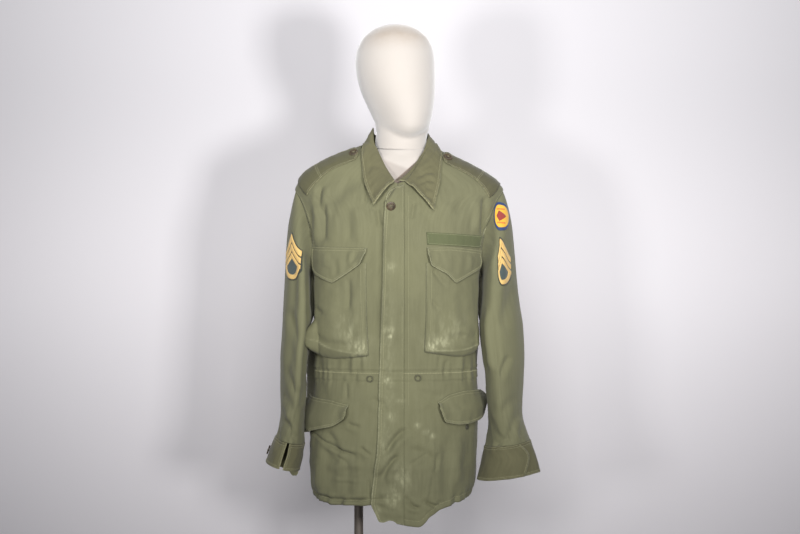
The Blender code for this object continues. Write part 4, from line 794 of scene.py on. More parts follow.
# Each flap: inner and outer edge in degrees, top corners, bottom corners, stand-off at the tip.
CHEST_FLAPS = {
    "chest_flap_right": (
        (-27.6, -75.0), ((-75.0, 1.333), (-66.0, 1.3310), (-27.6, 1.3270)),
        ((-75.0, 1.2960), (-74.0, 1.2830), (-70.0, 1.2735), (-53.5, 1.2540), (-31.2, 1.2940),
         (-27.6, 1.3170)), 0.0040,
    ),
    "chest_flap_left": (
        (26.0, 74.0), ((26.0, 1.3285), (46.0, 1.3300), (74.0, 1.3240)),
        ((26.0, 1.3140), (27.9, 1.2905), (39.4, 1.2740), (46.6, 1.2540), (73.0, 1.2870),
         (74.0, 1.3040)), 0.0040,
    ),
}
FLAP_CREASES = (
    (-131, 1307, -127, 1268, 2, 5, -1.6), (-100, 1322, -92, 1285, 0, 7, 1.0),
    (-84, 1318, -96, 1292, 0, 5, -1.2), (-150, 1320, -146, 1285, 0, 7, 0.9),
    (118, 1318, 112, 1270, 0, 7, -1.0), (84, 1318, 76, 1288, 0, 6, 0.8),
    (150, 1315, 146, 1280, 0, 6, 0.8),
)


def flap_edge_relief(runs, borders, inset):
    """A turned edge is thicker than its inside: a rounded welt up to the stitch line, a narrow
    groove along it, and small puckers that the stitches draw in."""
    nearest = np.minimum.reduce([runs[border] for border in borders])
    welt = 0.0007 * np.clip(1 - ((nearest - inset * 0.5) / (inset * 0.62)) ** 2, 0, 1)
    groove = -0.0005 * np.exp(-(((nearest - inset) / 0.0013) ** 2))
    pucker = rumple((runs["first"] + 1.7 * runs["start"]) / 0.0055, nearest / 0.02, 31)
    return welt + groove + 0.00045 * pucker * np.exp(-(((nearest - inset) / 0.004) ** 2))


flap_pieces, flap_seams = {}, []
for name, ((inner, outer), top, bottom, stand_off) in CHEST_FLAPS.items():
    v, u = np.meshgrid(np.linspace(0, 1, 34), crowded(68), indexing="ij")
    polar = inner + u * (outer - inner)
    high, low = edge_curve(top, polar, 1.0), edge_curve(bottom, polar, 0.7)
    height = low + v * (high - low)
    turn = turn_at_polar(polar, height)
    over = (smooth(POCKET_PUFF, 1, height) + THIN_WALL + LIFT) * ease((high - height) / 0.030)
    lifted = stand_off * (1 - v) ** 2 * (0.4 + 0.6 * ease((0.75 - u) / 0.5))
    lifted += 0.0035 * ease((0.14 - u) / 0.14) * ease((0.95 - v) / 0.2)
    out = PANEL_WALL + LIFT + over + lifted
    flat_x = panel_point(turn, height, False)[..., 0]
    out = out + np.maximum(1.8 * creases(flat_x, height, FLAP_CREASES), -0.0007 - 0.5 * lifted)
    rough = panel_surface(turn, height, out)
    out = out + np.maximum(
        flap_edge_relief(border_runs(rough), ("first", "start", "end", "last"), 0.0055), -0.0006
    )
    grid = panel_surface(turn, height, out)
    flap_pieces[name] = cloth(
        name, grid, THIN_WALL, sateen, worn=("first", "start", "end")
    )
    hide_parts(name)
    face = faced(grid, THIN_WALL)
    flap_seams += [inset_line(face, edge, 0.0055, 0.0055) for edge in ("first", "start", "end")]
    flap_seams += [inset_line(face, "last", d, 0.002) for d in (0.0020, 0.0075)]
flap_stitches = stitches("chest_flap_stitches", flap_seams)

# ---------------------------------------------------------------- hip flaps and name tape
# Pointed flaps over the inner hip pockets, stitched along the top. The outer end of the
# wearer's left one curls away. The tape is a bare strip of darker webbing, stitched all round.

HIP_FLAPS = {
    "hip_flap_right": (
        (-42.4, -96.0), ((-96.0, 1.0060), (-80.0, 1.0055), (-57.0, 1.0030), (-42.4, 0.9950)),
        ((-96.0, 0.9420), (-90.0, 0.9240), (-80.0, 0.9270), (-53.0, 0.9480), (-43.6, 0.9650),
         (-42.4, 0.9760)), 0.0185,
    ),
    "hip_flap_left": (
        (35.5, 94.0), ((35.5, 1.0000), (45.0, 1.0160), (59.0, 1.0230), (74.5, 1.0220),
                       (94.0, 1.0160)),
        ((35.5, 0.9900), (38.8, 0.9590), (49.0, 0.9535), (61.6, 0.9535), (80.0, 0.9620),
         (90.0, 0.9760), (94.0, 0.9900)), 0.0130,
    ),
}
HIP_CREASES = (
    (-120, 990, -128, 945, 3, 8, -1.0), (-90, 985, -96, 955, 0, 7, 0.8),
    (120, 996, 132, 985, 0, 6, -1.4), (157, 1010, 176, 1024, 0, 6, -1.6),
    (95, 1000, 92, 965, 0, 8, 0.9),
)
hip_pieces, hip_seams = {}, []
for name, ((inner, outer), top, bottom, curl) in HIP_FLAPS.items():
    v, u = np.meshgrid(np.linspace(0, 1, 34), crowded(78), indexing="ij")
    polar = inner + u * (outer - inner)
    high, low = edge_curve(top, polar, 2.5), edge_curve(bottom, polar, 1.0)
    height = low + v * (high - low)
    turn = turn_at_polar(polar, height)
    out = PANEL_WALL + LIFT + 0.0085 * ease((1 - v) / 0.65) + curl * np.sin(
        math.pi * (0.12 + 0.76 * (1 - v))) * u**3
    out = out + 0.0040 * ease((0.15 - u) / 0.15) * ease((0.9 - v) / 0.3)
    flat_x = panel_point(turn, height, False)[..., 0]
    out = out + np.maximum(creases(flat_x, height, HIP_CREASES), -0.0012) * ease((1 - v) / 0.2)
    rough = panel_surface(turn, height, out)
    out = out + np.maximum(
        flap_edge_relief(border_runs(rough), ("first", "start", "end", "last"), 0.0055), -0.0006
    )
    grid = panel_surface(turn, height, out)
    hip_pieces[name] = cloth(
        name, grid, THIN_WALL, sateen, worn=("first", "start", "end")
    )
    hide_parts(name)
    face = faced(grid, THIN_WALL)
    hip_seams += [inset_line(face, edge, 0.0055, 0.0055) for edge in ("first", "start", "end")]
    hip_seams += [inset_line(face, "last", d, 0.002) for d in (0.0020, 0.0075)]
hip_stitches = stitches("hip_flap_stitches", hip_seams)

tape_cloth = woven_cloth(
    "name_tape_webbing", (93, 98, 66), (101, 105, 72), (85, 90, 60), (130, 130, 100)
)
v, u = spaced(16, 60)
polar = 26.3 + u * 46.0
height = (1.3345 + v * 0.0260) - 0.0050 * u
grid = panel_surface(turn_at_polar(polar, height), height, np.full(u.shape, PANEL_WALL + LIFT))
name_tape = cloth("name_tape", grid, 0.0012, tape_cloth)
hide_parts("name_tape")
face = faced(grid, 0.0012)
tape_stitches = stitches(
    "name_tape_stitches", [inset_line(face, e, 0.0022, 0.0022) for e in ("first", "last", "start", "end")]
)

# ---------------------------------------------------------------- fly
# Folded strip of sateen that hides the closure: sewn to the wearer's left front by one row
# and free on the right, where two close rows keep its fold. Snaps mark it from below.

FLY = np.array([
    (0.7560, -0.0400, 0.0127), (0.7600, -0.0430, 0.0127), (0.7720, -0.0492, 0.0127),
    (0.7900, -0.0545, 0.0127), (0.8300, -0.0520, 0.0127),
    (0.9070, -0.0425, 0.0127), (1.0630, -0.0385, 0.0127), (1.2180, -0.0325, 0.0127),
    (1.4200, -0.0272, 0.0127), (1.4380, -0.0240, 0.0127), (1.4490, -0.0165, 0.0127),
    (1.4570, -0.0040, 0.0127),
])
FLY_ROW_END = 0.990
FLY_BUMPS = ((-15, 1285), (-18, 1220), (-19, 1150), (-23, 1049), (-20, 972), (-26, 890), (-30, 810))
v, u = spaced(250, 27)
height = FLY[0, 0] + v * (FLY[-1, 0] - FLY[0, 0])
free, sewn = smooth(FLY, 1, height), smooth(FLY, 2, height)
x = free + u * (sewn - free)
height = height + 0.004 * u * ease((v - 0.97) / 0.03) - 0.010 * u * ease((0.03 - v) / 0.03)
relief = 0.0008 + 0.0013 * rumple(u * 1.5, v * 17, 41) + 0.0006 * rumple(u * 4, v * 60, 42)
for bump_x, bump_z in np.array(FLY_BUMPS) / 1000:
    relief = relief + 0.0009 * np.exp(-((x - bump_x) ** 2 + (height - bump_z) ** 2) / 0.0065**2)
relief = relief + creases(x, height, (
    (-40, 986, 14, 988, 0, 4, -2.2), (-50, 840, 10, 856, 3, 7, -1.2), (-27, 889, 23, 950, 6, 6, -2.6),
    (-36, 837, 2, 894, 4, 6, -2.4), (-44, 800, 12, 806, 4, 6, -2.0), (-34, 1030, 4, 1015, 0, 6, -1.2),
    (-50, 792, -5, 769, 0, 5, -2.2),
))
relief = relief + 0.0016 * ease((0.012 - (x - free)) / 0.012)
relief = relief - 0.0030 * ease((u - 0.62) / 0.38) * ease((1.01 - height) / 0.05)
grid = panel_surface(turn_at_x(x, height), height, PANEL_WALL + LIFT + np.maximum(relief, 0.0))
fly = cloth(
    "fly", grid, THIN_WALL, sateen, worn=("start", "first", "last"),
    scuff=rubbed(grid), pale_edge_width=0.0013,
)
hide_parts("fly")
face = faced(grid, THIN_WALL)
sewn_row = inset_line(face, "end", 0.0020, 0.004)
fly_stitches = stitches(
    "fly_stitches",
    [inset_line(face, "start", d, 0.004) for d in (0.0066, 0.0074)]
    + [sewn_row[sewn_row[:, 2] > FLY_ROW_END], inset_line(face, "last", 0.0060, 0.006)],
)

# ---------------------------------------------------------------- sleeves
# One tube of sateen each, set into the armhole, with its seam under the arm. They hang flat,
# without arms in them, and crumple lower down.

# Station, outer x and z, inner x and z, middle y, half depth.
SLEEVE_LINES = {
    -1: np.array([
        (0, 0.2225, 1.457, 0.1840, 1.270, 0.004, 0.058),
        (1, 0.2305, 1.428, 0.1920, 1.2725, 0.000, 0.068),
        (2, 0.2405, 1.375, 0.1940, 1.262, -0.004, 0.077),
        (3, 0.2455, 1.320, 0.1950, 1.240, -0.008, 0.083),
        (4, 0.2480, 1.270, 0.1950, 1.212, -0.012, 0.086),
        (5, 0.2505, 1.215, 0.1940, 1.182, -0.015, 0.087),
        (6, 0.2530, 1.151, 0.1960, 1.138, -0.019, 0.087),
        (7, 0.2570, 1.086, 0.2005, 1.082, -0.023, 0.085),
        (8, 0.2570, 1.030, 0.2040, 1.030, -0.027, 0.082),
        (9, 0.2545, 0.972, 0.2055, 0.972, -0.031, 0.077),
        (10, 0.2600, 0.928, 0.2045, 0.917, -0.034, 0.072),
        (11, 0.2720, 0.904, 0.2070, 0.884, -0.036, 0.069),
        (12, 0.2855, 0.8665, 0.2150, 0.848, -0.037, 0.071),
    ]),
    1: np.array([
        (0, 0.2280, 1.457, 0.1780, 1.270, 0.004, 0.058),
        (1, 0.2405, 1.427, 0.1860, 1.2725, 0.000, 0.071),
        (2, 0.2500, 1.375, 0.1880, 1.262, -0.004, 0.084),
        (3, 0.2560, 1.320, 0.1885, 1.240, -0.008, 0.090),
        (4, 0.2600, 1.270, 0.1875, 1.212, -0.012, 0.091),
        (5, 0.2655, 1.215, 0.1850, 1.182, -0.016, 0.090),
        (6, 0.2730, 1.160, 0.1855, 1.142, -0.021, 0.087),
        (7, 0.2760, 1.100, 0.1915, 1.086, -0.027, 0.083),
        (8, 0.2735, 1.040, 0.1950, 1.030, -0.033, 0.078),
        (9, 0.2695, 0.972, 0.1990, 0.972, -0.039, 0.072),
        (10, 0.2790, 0.930, 0.1950, 0.922, -0.043, 0.064),
        (11, 0.2890, 0.902, 0.1850, 0.886, -0.046, 0.057),
        (12, 0.3060, 0.846, 0.1760, 0.828, -0.049, 0.052),
    ]),
}
ARMHOLE_INSET, UNDERARM_INSET = 0.0028, 0.0022
ARMHOLE_DEPTH, ARMHOLE_OUT, ARMHOLE_STATIONS = 0.0060, 0.0012, 2.0
SLEEVE_SQUARE, SLEEVE_LEAN = -0.15, 0.50
CUFF_SEAM = {-1: 10.3, 1: 10.6}
SLEEVE_END, CUFF_GAP = 12.0, 0.020
# The inner back of each sleeve swells against the body: lowest and highest point, how far.
SLEEVE_SWELL = {-1: (1.160, 1.300, 0.0140), 1: (1.150, 1.300, 0.0120)}
# Creases of the sleeves in mm on the unrolled tube, along the ring (1 mm a degree) and by
# height: from, to, bow, half width, depth. Ring 0 is the outer line and 90 the front.
SLEEVE_CREASES = {
    -1: (
        (62, 1330, 58, 1040, 0, 16, -3.0), (98, 1340, 98, 980, 3, 14, 3.2),
        (128, 1290, 126, 1020, 0, 12, -1.6),
        (30, 1200, 95, 1120, 6, 14, -2.0), (40, 1080, 110, 1010, -6, 12, -2.2),
        (20, 1000, 80, 960, 5, 12, 2.2), (40, 965, 120, 915, 6, 9, -2.4),
        (20, 940, 70, 905, -4, 8, -2.0), (130, 1200, 160, 1100, 0, 14, -2.0),
        (-40, 1250, -70, 1050, 8, 18, -2.6), (-80, 1150, -20, 1080, 5, 14, 2.2),
        (-100, 1060, -40, 1000, -5, 12, -2.4), (-140, 1000, -70, 950, 6, 12, -2.0),
        (-150, 1250, -130, 1130, 0, 16, 2.2), (170, 1050, 130, 980, 5, 12, 1.8),
        (-60, 940, 10, 915, 0, 9, 1.8), (60, 1420, 85, 1370, 3, 9, -1.2),
    ),
    1: (
        (110, 1210, 112, 1060, 4, 12, 3.0), (140, 1190, 138, 1060, 3, 14, -3.4),
        (55, 1100, 85, 1050, 3, 9, -2.2), (20, 1250, 70, 1150, 8, 16, -2.2),
        (30, 1010, 110, 960, 6, 12, -1.4), (50, 950, 130, 925, -5, 10, -1.3),
        (20, 960, 70, 930, 4, 9, 2.0), (80, 930, 130, 905, 0, 8, -2.2),
        (-40, 1240, -80, 1050, 8, 18, -2.6), (-90, 1140, -20, 1070, 5, 14, 2.2),
        (-110, 1050, -40, 990, -5, 12, -2.4), (-140, 1000, -60, 945, 6, 12, -2.0),
        (-150, 1240, -130, 1120, 0, 16, 2.2), (75, 1400, 95, 1330, 3, 9, -1.4),
        (60, 1330, 75, 1220, -3, 12, 1.4),
    ),
}


def sleeve_ring(side, station, ring):
    """Point of a sleeve: a squared ellipse (sine and cosine to a power) through its outer,
    front, inner and back lines. The first rings follow the armhole and turn into it by the
    second station."""
    table = SLEEVE_LINES[side]
    outer_x, outer_z, inner_x, inner_z, middle_y, half_depth = (
        smooth(table, k, station) for k in range(1, 7)
    )
    cosine, sine = np.cos(np.radians(ring)), np.sin(np.radians(ring))
    power = 1 - SLEEVE_SQUARE * ease(station / 3) * ease((11.5 - station) / 3)
    wide, deep = (np.sign(wave) * np.abs(wave) ** power for wave in (cosine, sine))
    lean = SLEEVE_LEAN * ease(station / 3) * ease((10.5 - station) / 2.5) * np.clip(deep, 0, 1)
    x = (outer_x + inner_x) / 2 + (wide - lean) * (outer_x - inner_x) / 2
    z = (outer_z + inner_z) / 2 + wide * (outer_z - inner_z) / 2
    z = z - 0.017 * ease((station - 9) / 3) * np.clip(-sine, 0, 1)
    loose = np.stack([side * x, middle_y - deep * half_depth, z], axis=-1)
    sewn = panel_point(*armhole(side, ring), False)
    centre = panel_point(side * 90.0, (SHOULDER_TIP + ARMPIT) / 2, False)
    centre = centre - np.array([side * ARMHOLE_DEPTH, 0.0, 0.0])
    inset = ARMHOLE_INSET + UNDERARM_INSET * (1 - cosine) / 2
    sewn = sewn + unit(centre - sewn) * inset[..., None]
    sewn = sewn + np.array([side * ARMHOLE_OUT, 0.0, 0.0])
    share = ease(station / ARMHOLE_STATIONS)[..., None]
    return (1 - share) * sewn + share * loose


def sleeve_surface(side, station, ring, out=0.0):
    """Point of a sleeve at a distance from its inner face, with its creases, its crumpled lower
    end, and the puckers where it is set into the armhole and gathered into the cuff."""
    station, ring = np.broadcast_arrays(np.asarray(station, float), np.asarray(ring, float))
    point = sleeve_ring(side, station, ring)
    around = sleeve_ring(side, station, ring + 1.0) - sleeve_ring(side, station, ring - 1.0)
    down = sleeve_ring(side, station + 0.03, ring) - sleeve_ring(side, station - 0.03, ring)
    normal = unit(np.cross(around, down)) * side
    wound = (ring + 180.0) % 360.0 - 180.0
    height = point[..., 2]
    relief = 1.6 * creases(wound / 1000, height, SLEEVE_CREASES[side])
    share = wound / 360 + 0.5
    low = ease((1.06 - height) / 0.12)
    seed = 50 + side
    relief += (0.0011 + 0.0006 * low) * rumple(share * 7, height / 0.055, seed, 7)
    relief += (0.0005 + 0.0006 * low) * rumple(share * 17 + height * 8, height / 0.027, seed + 5, 17)
    relief += (0.0006 + 0.0012 * low) * (
        0.5 - np.abs(rumple(share * 11 - height * 10, height / 0.035, seed + 9, 11))
    )
    gather = rumple(share * 31, station / 2, seed + 13, 31)
    relief += 0.0012 * gather * np.exp(-(((station - CUFF_SEAM[side]) / 0.30) ** 2))
    relief += 0.0007 * gather * np.exp(-((station / 0.35) ** 2))
    relief *= ease(station / 0.30) * (1 - 0.75 * np.exp(-((wound / 26.0) ** 2)))
    relief -= 0.0022 * np.exp(-((wound / 34.0) ** 2)) * ease(station / 4) * ease((10 - station) / 2)
    low, high, amount = SLEEVE_SWELL[side]
    along = np.clip((height - low) / (high - low), 0, 1)
    swell = np.exp(-(((wound + 155.0) / 24.0) ** 2)) + np.exp(-(((wound - 205.0) / 24.0) ** 2))
    relief += amount * swell * np.sin(math.pi * along) ** 0.5
    return point + normal * (relief + out)[..., None]


def from_sleeve(points):
    """Outward directions of a sleeve, from a line down its middle."""
    side = np.sign(points[..., :1])
    return points - np.concatenate([side * 0.222, 0 * side - 0.015, points[..., 2:]], axis=-1)


for word, side, area in (("right", -1, 0.235), ("left", 1, 0.230)):
    station, ring = np.meshgrid(
        np.linspace(0, CUFF_SEAM[side], 180), np.linspace(0, 360, 145)[:-1], indexing="ij"
    )
    grid = pull_in(sleeve_surface(side, station, ring), SEAM_INSET, (0,))
    made = cloth(
        f"sleeve_{word}", grid, PANEL_WALL, sateen, True, from_sleeve, ("first",)
    )
    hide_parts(f"sleeve_{word}")
    face = faced(grid, PANEL_WALL, True, from_sleeve)[8:-3]
    sewn = stitches(f"sleeve_{word}_stitches", [face[:, 72], face[:, 75]])

# ---------------------------------------------------------------- cuffs
# Doubled bands sewn to the sleeve ends, stitched round their edges. The wearer's right one hangs
# open at a slit with a loose tab inside; the left one laps and ends in a point.

CUFF_VENT_RING, CUFF_VENT, CUFF_VENT_FLARE = 92.0, 5.0, 0.5
CUFF_POINT_RING, CUFF_POINT = 40.0, 24.0
CUFF_LAP, CUFF_LAP_STEP, CUFF_LAP_FROM, CUFF_LAP_RUN = 40.0, 0.0036, 14.0, 30.0


def finish_cuff(name, side, grid):
    """Turns a cuff's grid into its piece: welted edges and puckers, then the wall."""
    runs = border_runs(grid)
    normals = grid_normals(grid, False, from_sleeve)
    extra = flap_edge_relief(runs, ("first", "last", "start", "end"), 0.0055)
    extra = extra + 0.0009 * rumple(runs["start"] / 0.030, runs["first"] / 0.024, 60 + side)
    grid = grid + normals * extra[..., None]
    made = cloth(
        name, grid, PANEL_WALL, dark_sateen, False, from_sleeve,
        ("last", "start", "end"),
    )
    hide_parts(name)
    face = faced(grid, PANEL_WALL, False, from_sleeve)
    rows = [inset_line(face, edge, 0.0055, 0.0055) for edge in ("last", "start", "end")]
    rows += [inset_line(face, "first", d, 0.003) for d in (0.0022, 0.0075)]
    sewn = stitches(name + "_stitches", rows)
    return grid


v, u = spaced(30, 130)
start, station = (
    CUFF_SEAM[side] + CUFF_GAP + v * (SLEEVE_END - CUFF_SEAM[side] - CUFF_GAP) for side in (1, -1)
)
opening = CUFF_VENT + CUFF_VENT_FLARE * v
ring = CUFF_VENT_RING + opening + u * (360.0 - 2 * opening)
finish_cuff("cuff_right", -1, sleeve_surface(-1, station, ring))

station = start
start = CUFF_POINT_RING + CUFF_POINT * np.sqrt((2 * v - 1) ** 2 + 0.01)
ring = start + u * (CUFF_POINT_RING + 360.0 + CUFF_LAP - start)
grid = sleeve_surface(1, station, ring)
under = ease((ring - 360.0 - CUFF_LAP_FROM) / CUFF_LAP_RUN) * CUFF_LAP_STEP
inwards = (sleeve_ring(1, station, ring + 180.0) - grid) * np.array([1.0, 1.0, 0.0])
grid = grid + unit(inwards) * under[..., None]
finish_cuff("cuff_left", 1, grid)

TAB_TOP = (-0.2278, -0.052, 0.8650)
TAB_HALF_WIDTH, TAB_LENGTH, TAB_SLANT, TAB_ROUND_FROM = 0.0098, 0.028, 0.004, 0.5


def forwards(points):
    """Outward directions of what hangs in front."""
    return 0 * points + np.array([0.0, -1.0, 0.0])


v, u = spaced(24, 15, -1)
rounding = np.clip(v - TAB_ROUND_FROM, 0, 1) / (1.03 * (1 - TAB_ROUND_FROM))
x = TAB_TOP[0] + u * TAB_HALF_WIDTH * np.sqrt(1 - rounding**2) + TAB_SLANT * v
bow = 0.0012 * u**2 - 0.0006 * np.sin(math.pi * v)
grid = np.stack([x, TAB_TOP[1] + bow, TAB_TOP[2] - TAB_LENGTH * v], axis=-1)
tab = cloth(
    "cuff_tab_right", grid, PANEL_WALL, sateen, False, forwards,
    ("start", "end", "last"),
)
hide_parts("cuff_tab_right")

# ---------------------------------------------------------------- collar
# Two-layer fold-down collar with long points: it rises from the neckline, turns over a soft
# fold and lies on the shoulders, with a stitched edge, pale with wear and a painted highlight.

# Share from the back, then the fold's x, y, z and the free edge's x, y, z.
COLLAR_LINES = {
    -1: np.array([
        (0.00, 0.0050, 0.0640, 1.578, 0.0050, 0.0960, 1.510),
        (0.22, -0.0300, 0.0530, 1.579, -0.0390, 0.0880, 1.512),
        (0.42, -0.0510, 0.0230, 1.587, -0.0690, 0.0540, 1.530),
        (0.55, -0.0525, -0.0010, 1.5985, -0.0680, 0.0040, 1.5560),
        (0.68, -0.0500, -0.0300, 1.569, -0.0770, -0.0420, 1.527),
        (0.84, -0.0300, -0.0650, 1.518, -0.0740, -0.0860, 1.482),
        (1.00, -0.0070, -0.0970, 1.4720, -0.0510, -0.1165, 1.4165),
    ]),
    1: np.array([
        (0.00, 0.0050, 0.0640, 1.578, 0.0050, 0.0960, 1.510),
        (0.22, 0.0420, 0.0530, 1.577, 0.0480, 0.0880, 1.512),
        (0.42, 0.0640, 0.0230, 1.587, 0.0780, 0.0540, 1.530),
        (0.55, 0.0665, -0.0010, 1.580, 0.0800, 0.0040, 1.5530),
        (0.68, 0.0610, -0.0300, 1.560, 0.0920, -0.0400, 1.521),
        (0.84, 0.0430, -0.0650, 1.515, 0.0900, -0.0850, 1.475),
        (0.92, 0.0295, -0.0820, 1.4880, 0.0825, -0.1015, 1.4400),
        (1.00, 0.0175, -0.0970, 1.4690, 0.0745, -0.1175, 1.4060),
    ]),
}
NECK_POINT_SHARE, COLLAR_START = 0.55, 0.05
COLLAR_RISE, COLLAR_INSET, COLLAR_BEND = 0.0032, 0.0018, 0.009
COLLAR_CLEAR = 0.0036
STAND_ROWS, BEND_ROWS, FALL_ROWS = 10, 14, 30


def collar_line(share, first):
    """Point of the collar's fold (first column 1) or of its free edge (first column 4)."""
    size = np.abs(share)
    return np.stack([
        np.where(
            share < 0,
            smooth(COLLAR_LINES[-1], k, size),
            smooth(COLLAR_LINES[1], k, size),
        )
        for k in range(first, first + 3)
    ], axis=-1)


def neckline_point(share):
    """Neckline point for a share from the centre back (0) past the neck point to the pit (1)."""
    size = np.abs(share)
    back = np.clip(size / NECK_POINT_SHARE, 0, 1)
    front = np.clip((1 - size) / (1 - NECK_POINT_SHARE), 0, 1)
    front = COLLAR_START + (1 - COLLAR_START) * front
    behind = size < NECK_POINT_SHARE
    turn = np.where(behind, 180.0 - smooth(NECKLINE_BACK, 1, back), smooth(NECKLINE_FRONT, 1, front))
    height = np.where(behind, smooth(NECKLINE_BACK, 2, back), smooth(NECKLINE_FRONT, 2, front))
    return panel_point(np.where(share < 0, -turn, turn), height, False)


def body_level(points):
    """Size of a point's place against the body's section at its height: 1 on the inner face."""
    x, y, z = points[..., 0], points[..., 1], points[..., 2]
    half = np.where(x < 0, smooth(BODY, 1, z), smooth(BODY, 2, z))
    depth = np.where(y < 0, smooth(BODY, 3, z), smooth(BODY, 4, z))
    power = 2 / SQUARENESS
    return ((np.abs(x) / half) ** power + (np.abs(y) / depth) ** power) ** (1 / power)


def keep_off_body(points, clear):
    """Points moved out until they stand a distance off the body: the level less one, divided
    by its slope, is how far off a point is, and the slope's direction is the way out."""
    for _ in range(5):
        step = 0.0005
        slope = np.stack([
            (body_level(points + step * axis) - body_level(points - step * axis)) / (2 * step)
            for axis in np.eye(3)
        ], axis=-1)
        size = np.linalg.norm(slope, axis=-1)
        short = np.maximum(clear - (body_level(points) - 1) / size, 0.0)
        short = short * ease((NECK_POINT + 0.004 - points[..., 2]) / 0.006)
        points = points + unit(slope) * short[..., None]
    return points


shares = np.linspace(-1, 1, 211)
base = neckline_point(shares)
base = base - unit(from_axis(base)) * COLLAR_INSET + np.array([0.0, 0.0, COLLAR_RISE])
fold, edge = collar_line(shares, 1), collar_line(shares, 4)
up, down = fold - base, edge - fold
reach = np.minimum(COLLAR_BEND, 0.45 * np.linalg.norm(up, axis=-1))[:, None]
bend_start, bend_end = fold - unit(up) * reach, fold + unit(down) * reach
stand = np.linspace(0, 1, STAND_ROWS + 1)[:-1, None, None]
bend = np.linspace(0, 1, BEND_ROWS + 1)[:-1, None, None]
fall = np.linspace(0, 1, FALL_ROWS + 1)[:, None, None]
sag = 0.010 * np.sin(math.pi * stand) * ease((shares - 0.66) / 0.12)[:, None]
grid = np.concatenate([
    base + stand * (bend_start - base) - sag * np.array([1.0, 0.0, 0.0]),
    bend_start * (1 - bend) ** 2 + 2 * bend * (1 - bend) * fold + bend**2 * bend_end,
    bend_end + fall * (edge - bend_end),
])


def from_collar(points):
    """Outward directions of the part of the collar that lies on the shoulders."""
    spread = points - np.array([0.0065, 0.0, 1.487])
    beyond = np.linalg.norm(points[..., :2], axis=-1, keepdims=True) > 0.080
    return spread * beyond


first_fall = STAND_ROWS + BEND_ROWS
leaf = keep_off_body(grid[first_fall:], PANEL_WALL + COLLAR_CLEAR)
normals = grid_normals(grid, False, from_collar)[first_fall:]
roll = 0.0030 * np.sin(math.pi * np.linspace(0, 1, FALL_ROWS + 1)) ** 0.8
runs = border_runs(leaf)
edge_relief = flap_edge_relief(runs, ("last", "start", "end"), 0.0060)
wrinkles = creases(leaf[..., 0], leaf[..., 2], (
    (62, 1488, 80, 1486, 0, 4, -1.4), (60, 1472, 80, 1470, 0, 4, -1.4),
    (58, 1455, 78, 1452, 0, 4, -1.2), (55, 1436, 72, 1432, 0, 4, -1.2),
    (-62, 1470, -48, 1440, 0, 6, -1.0), (-45, 1500, -60, 1480, 0, 6, 0.8),
    (35, 1477, 80, 1497, 0, 5, -1.2), (44, 1492, 76, 1506, 0, 4, -1.0), (40, 1462, 70, 1474, 0, 4, -0.8),
    (-56, 1448, -48, 1430, 0, 3, -0.9), (-64, 1462, -58, 1440, 0, 3, -0.7),
))
wrinkles = 2.2 * wrinkles * ease(runs["last"] / 0.004)
uneven = 0.0009 * rumple(runs["start"] / 0.021, runs["first"] / 0.019, 71)
front_edge = np.exp(-((np.minimum(runs["start"], runs["end"]) / 0.011) ** 2))
uneven = uneven + 0.0055 * front_edge + 0.0006 * rumple(runs["start"] / 0.007, runs["last"] / 0.008, 72)
leaf = leaf + normals * (
    (roll[:, None] + edge_relief + wrinkles + uneven * ease(runs["first"] / 0.01))
)[..., None]
grid[first_fall:] = keep_off_body(leaf, PANEL_WALL + COLLAR_CLEAR)
collar = cloth(
    "collar", grid, THIN_WALL, dark_sateen, False, from_collar,
    ("last", "start", "end"),
)
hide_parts("collar")
face = faced(grid, THIN_WALL, False, from_collar)[first_fall:]
collar_stitches = stitches(
    "collar_stitches",
    [inset_line(face, "last", 0.0060, 0.006)]
    + [inset_line(face, side_edge, 0.0060, 0.006) for side_edge in ("start", "end")],
)

# ---------------------------------------------------------------- shoulder straps
# Two-layer straps, wide at the armhole seam and rounded by the collar, where a button holds
# each. A cross row of stitches fixes them near the armhole.

STRAPS = (("right", -1, 0.2155, 0.0850), ("left", 1, 0.2215, 0.0965))
STRAP_WIDE, STRAP_NARROW, STRAP_BOW, STRAP_ROUND = 0.0300, 0.0215, 9.0, 0.55
STRAP_TILT, STRAP_RIDGE, STRAP_LEFT_LOWER = math.radians(40.0), 0.9370, 0.0060
# Reach of the middle line: how far up and back a place is, seen along the leaning rays.
STRAP_MIDDLE = np.array([(0.0, 0.9185), (0.5, 0.9450), (1.0, 0.9545)])


def shoulder_place(x, reach):
    """Where a ray first meets the shoulder. It runs back and down, leaning by the tilt, through
    (x, reach times cos tilt, reach times sin tilt); between two steps the level falls evenly."""
    sine, cosine = math.sin(STRAP_TILT), math.cos(STRAP_TILT)
    steps = np.linspace(-1.30, -1.05, 301)[:, None, None]
    x, reach = np.broadcast_arrays(x, reach)
    line = np.stack([
        x + 0 * steps, reach * cosine + steps * sine, reach * sine - steps * cosine,
    ], axis=-1)
    level = body_level(line) - 1
    after = np.maximum(np.argmax(level < 0, axis=0), 1)[None]
    outer, inner = (np.take_along_axis(level, k, 0)[0] for k in (after - 1, after))
    share = (outer / (outer - inner))[..., None]
    low, high = (np.take_along_axis(line, k[..., None], 0)[0] for k in (after - 1, after))
    return low + (high - low) * share


def upwards(points):
    """Outward directions of what lies on the shoulders."""
    return 0 * points + np.array([0.0, 0.0, 1.0])


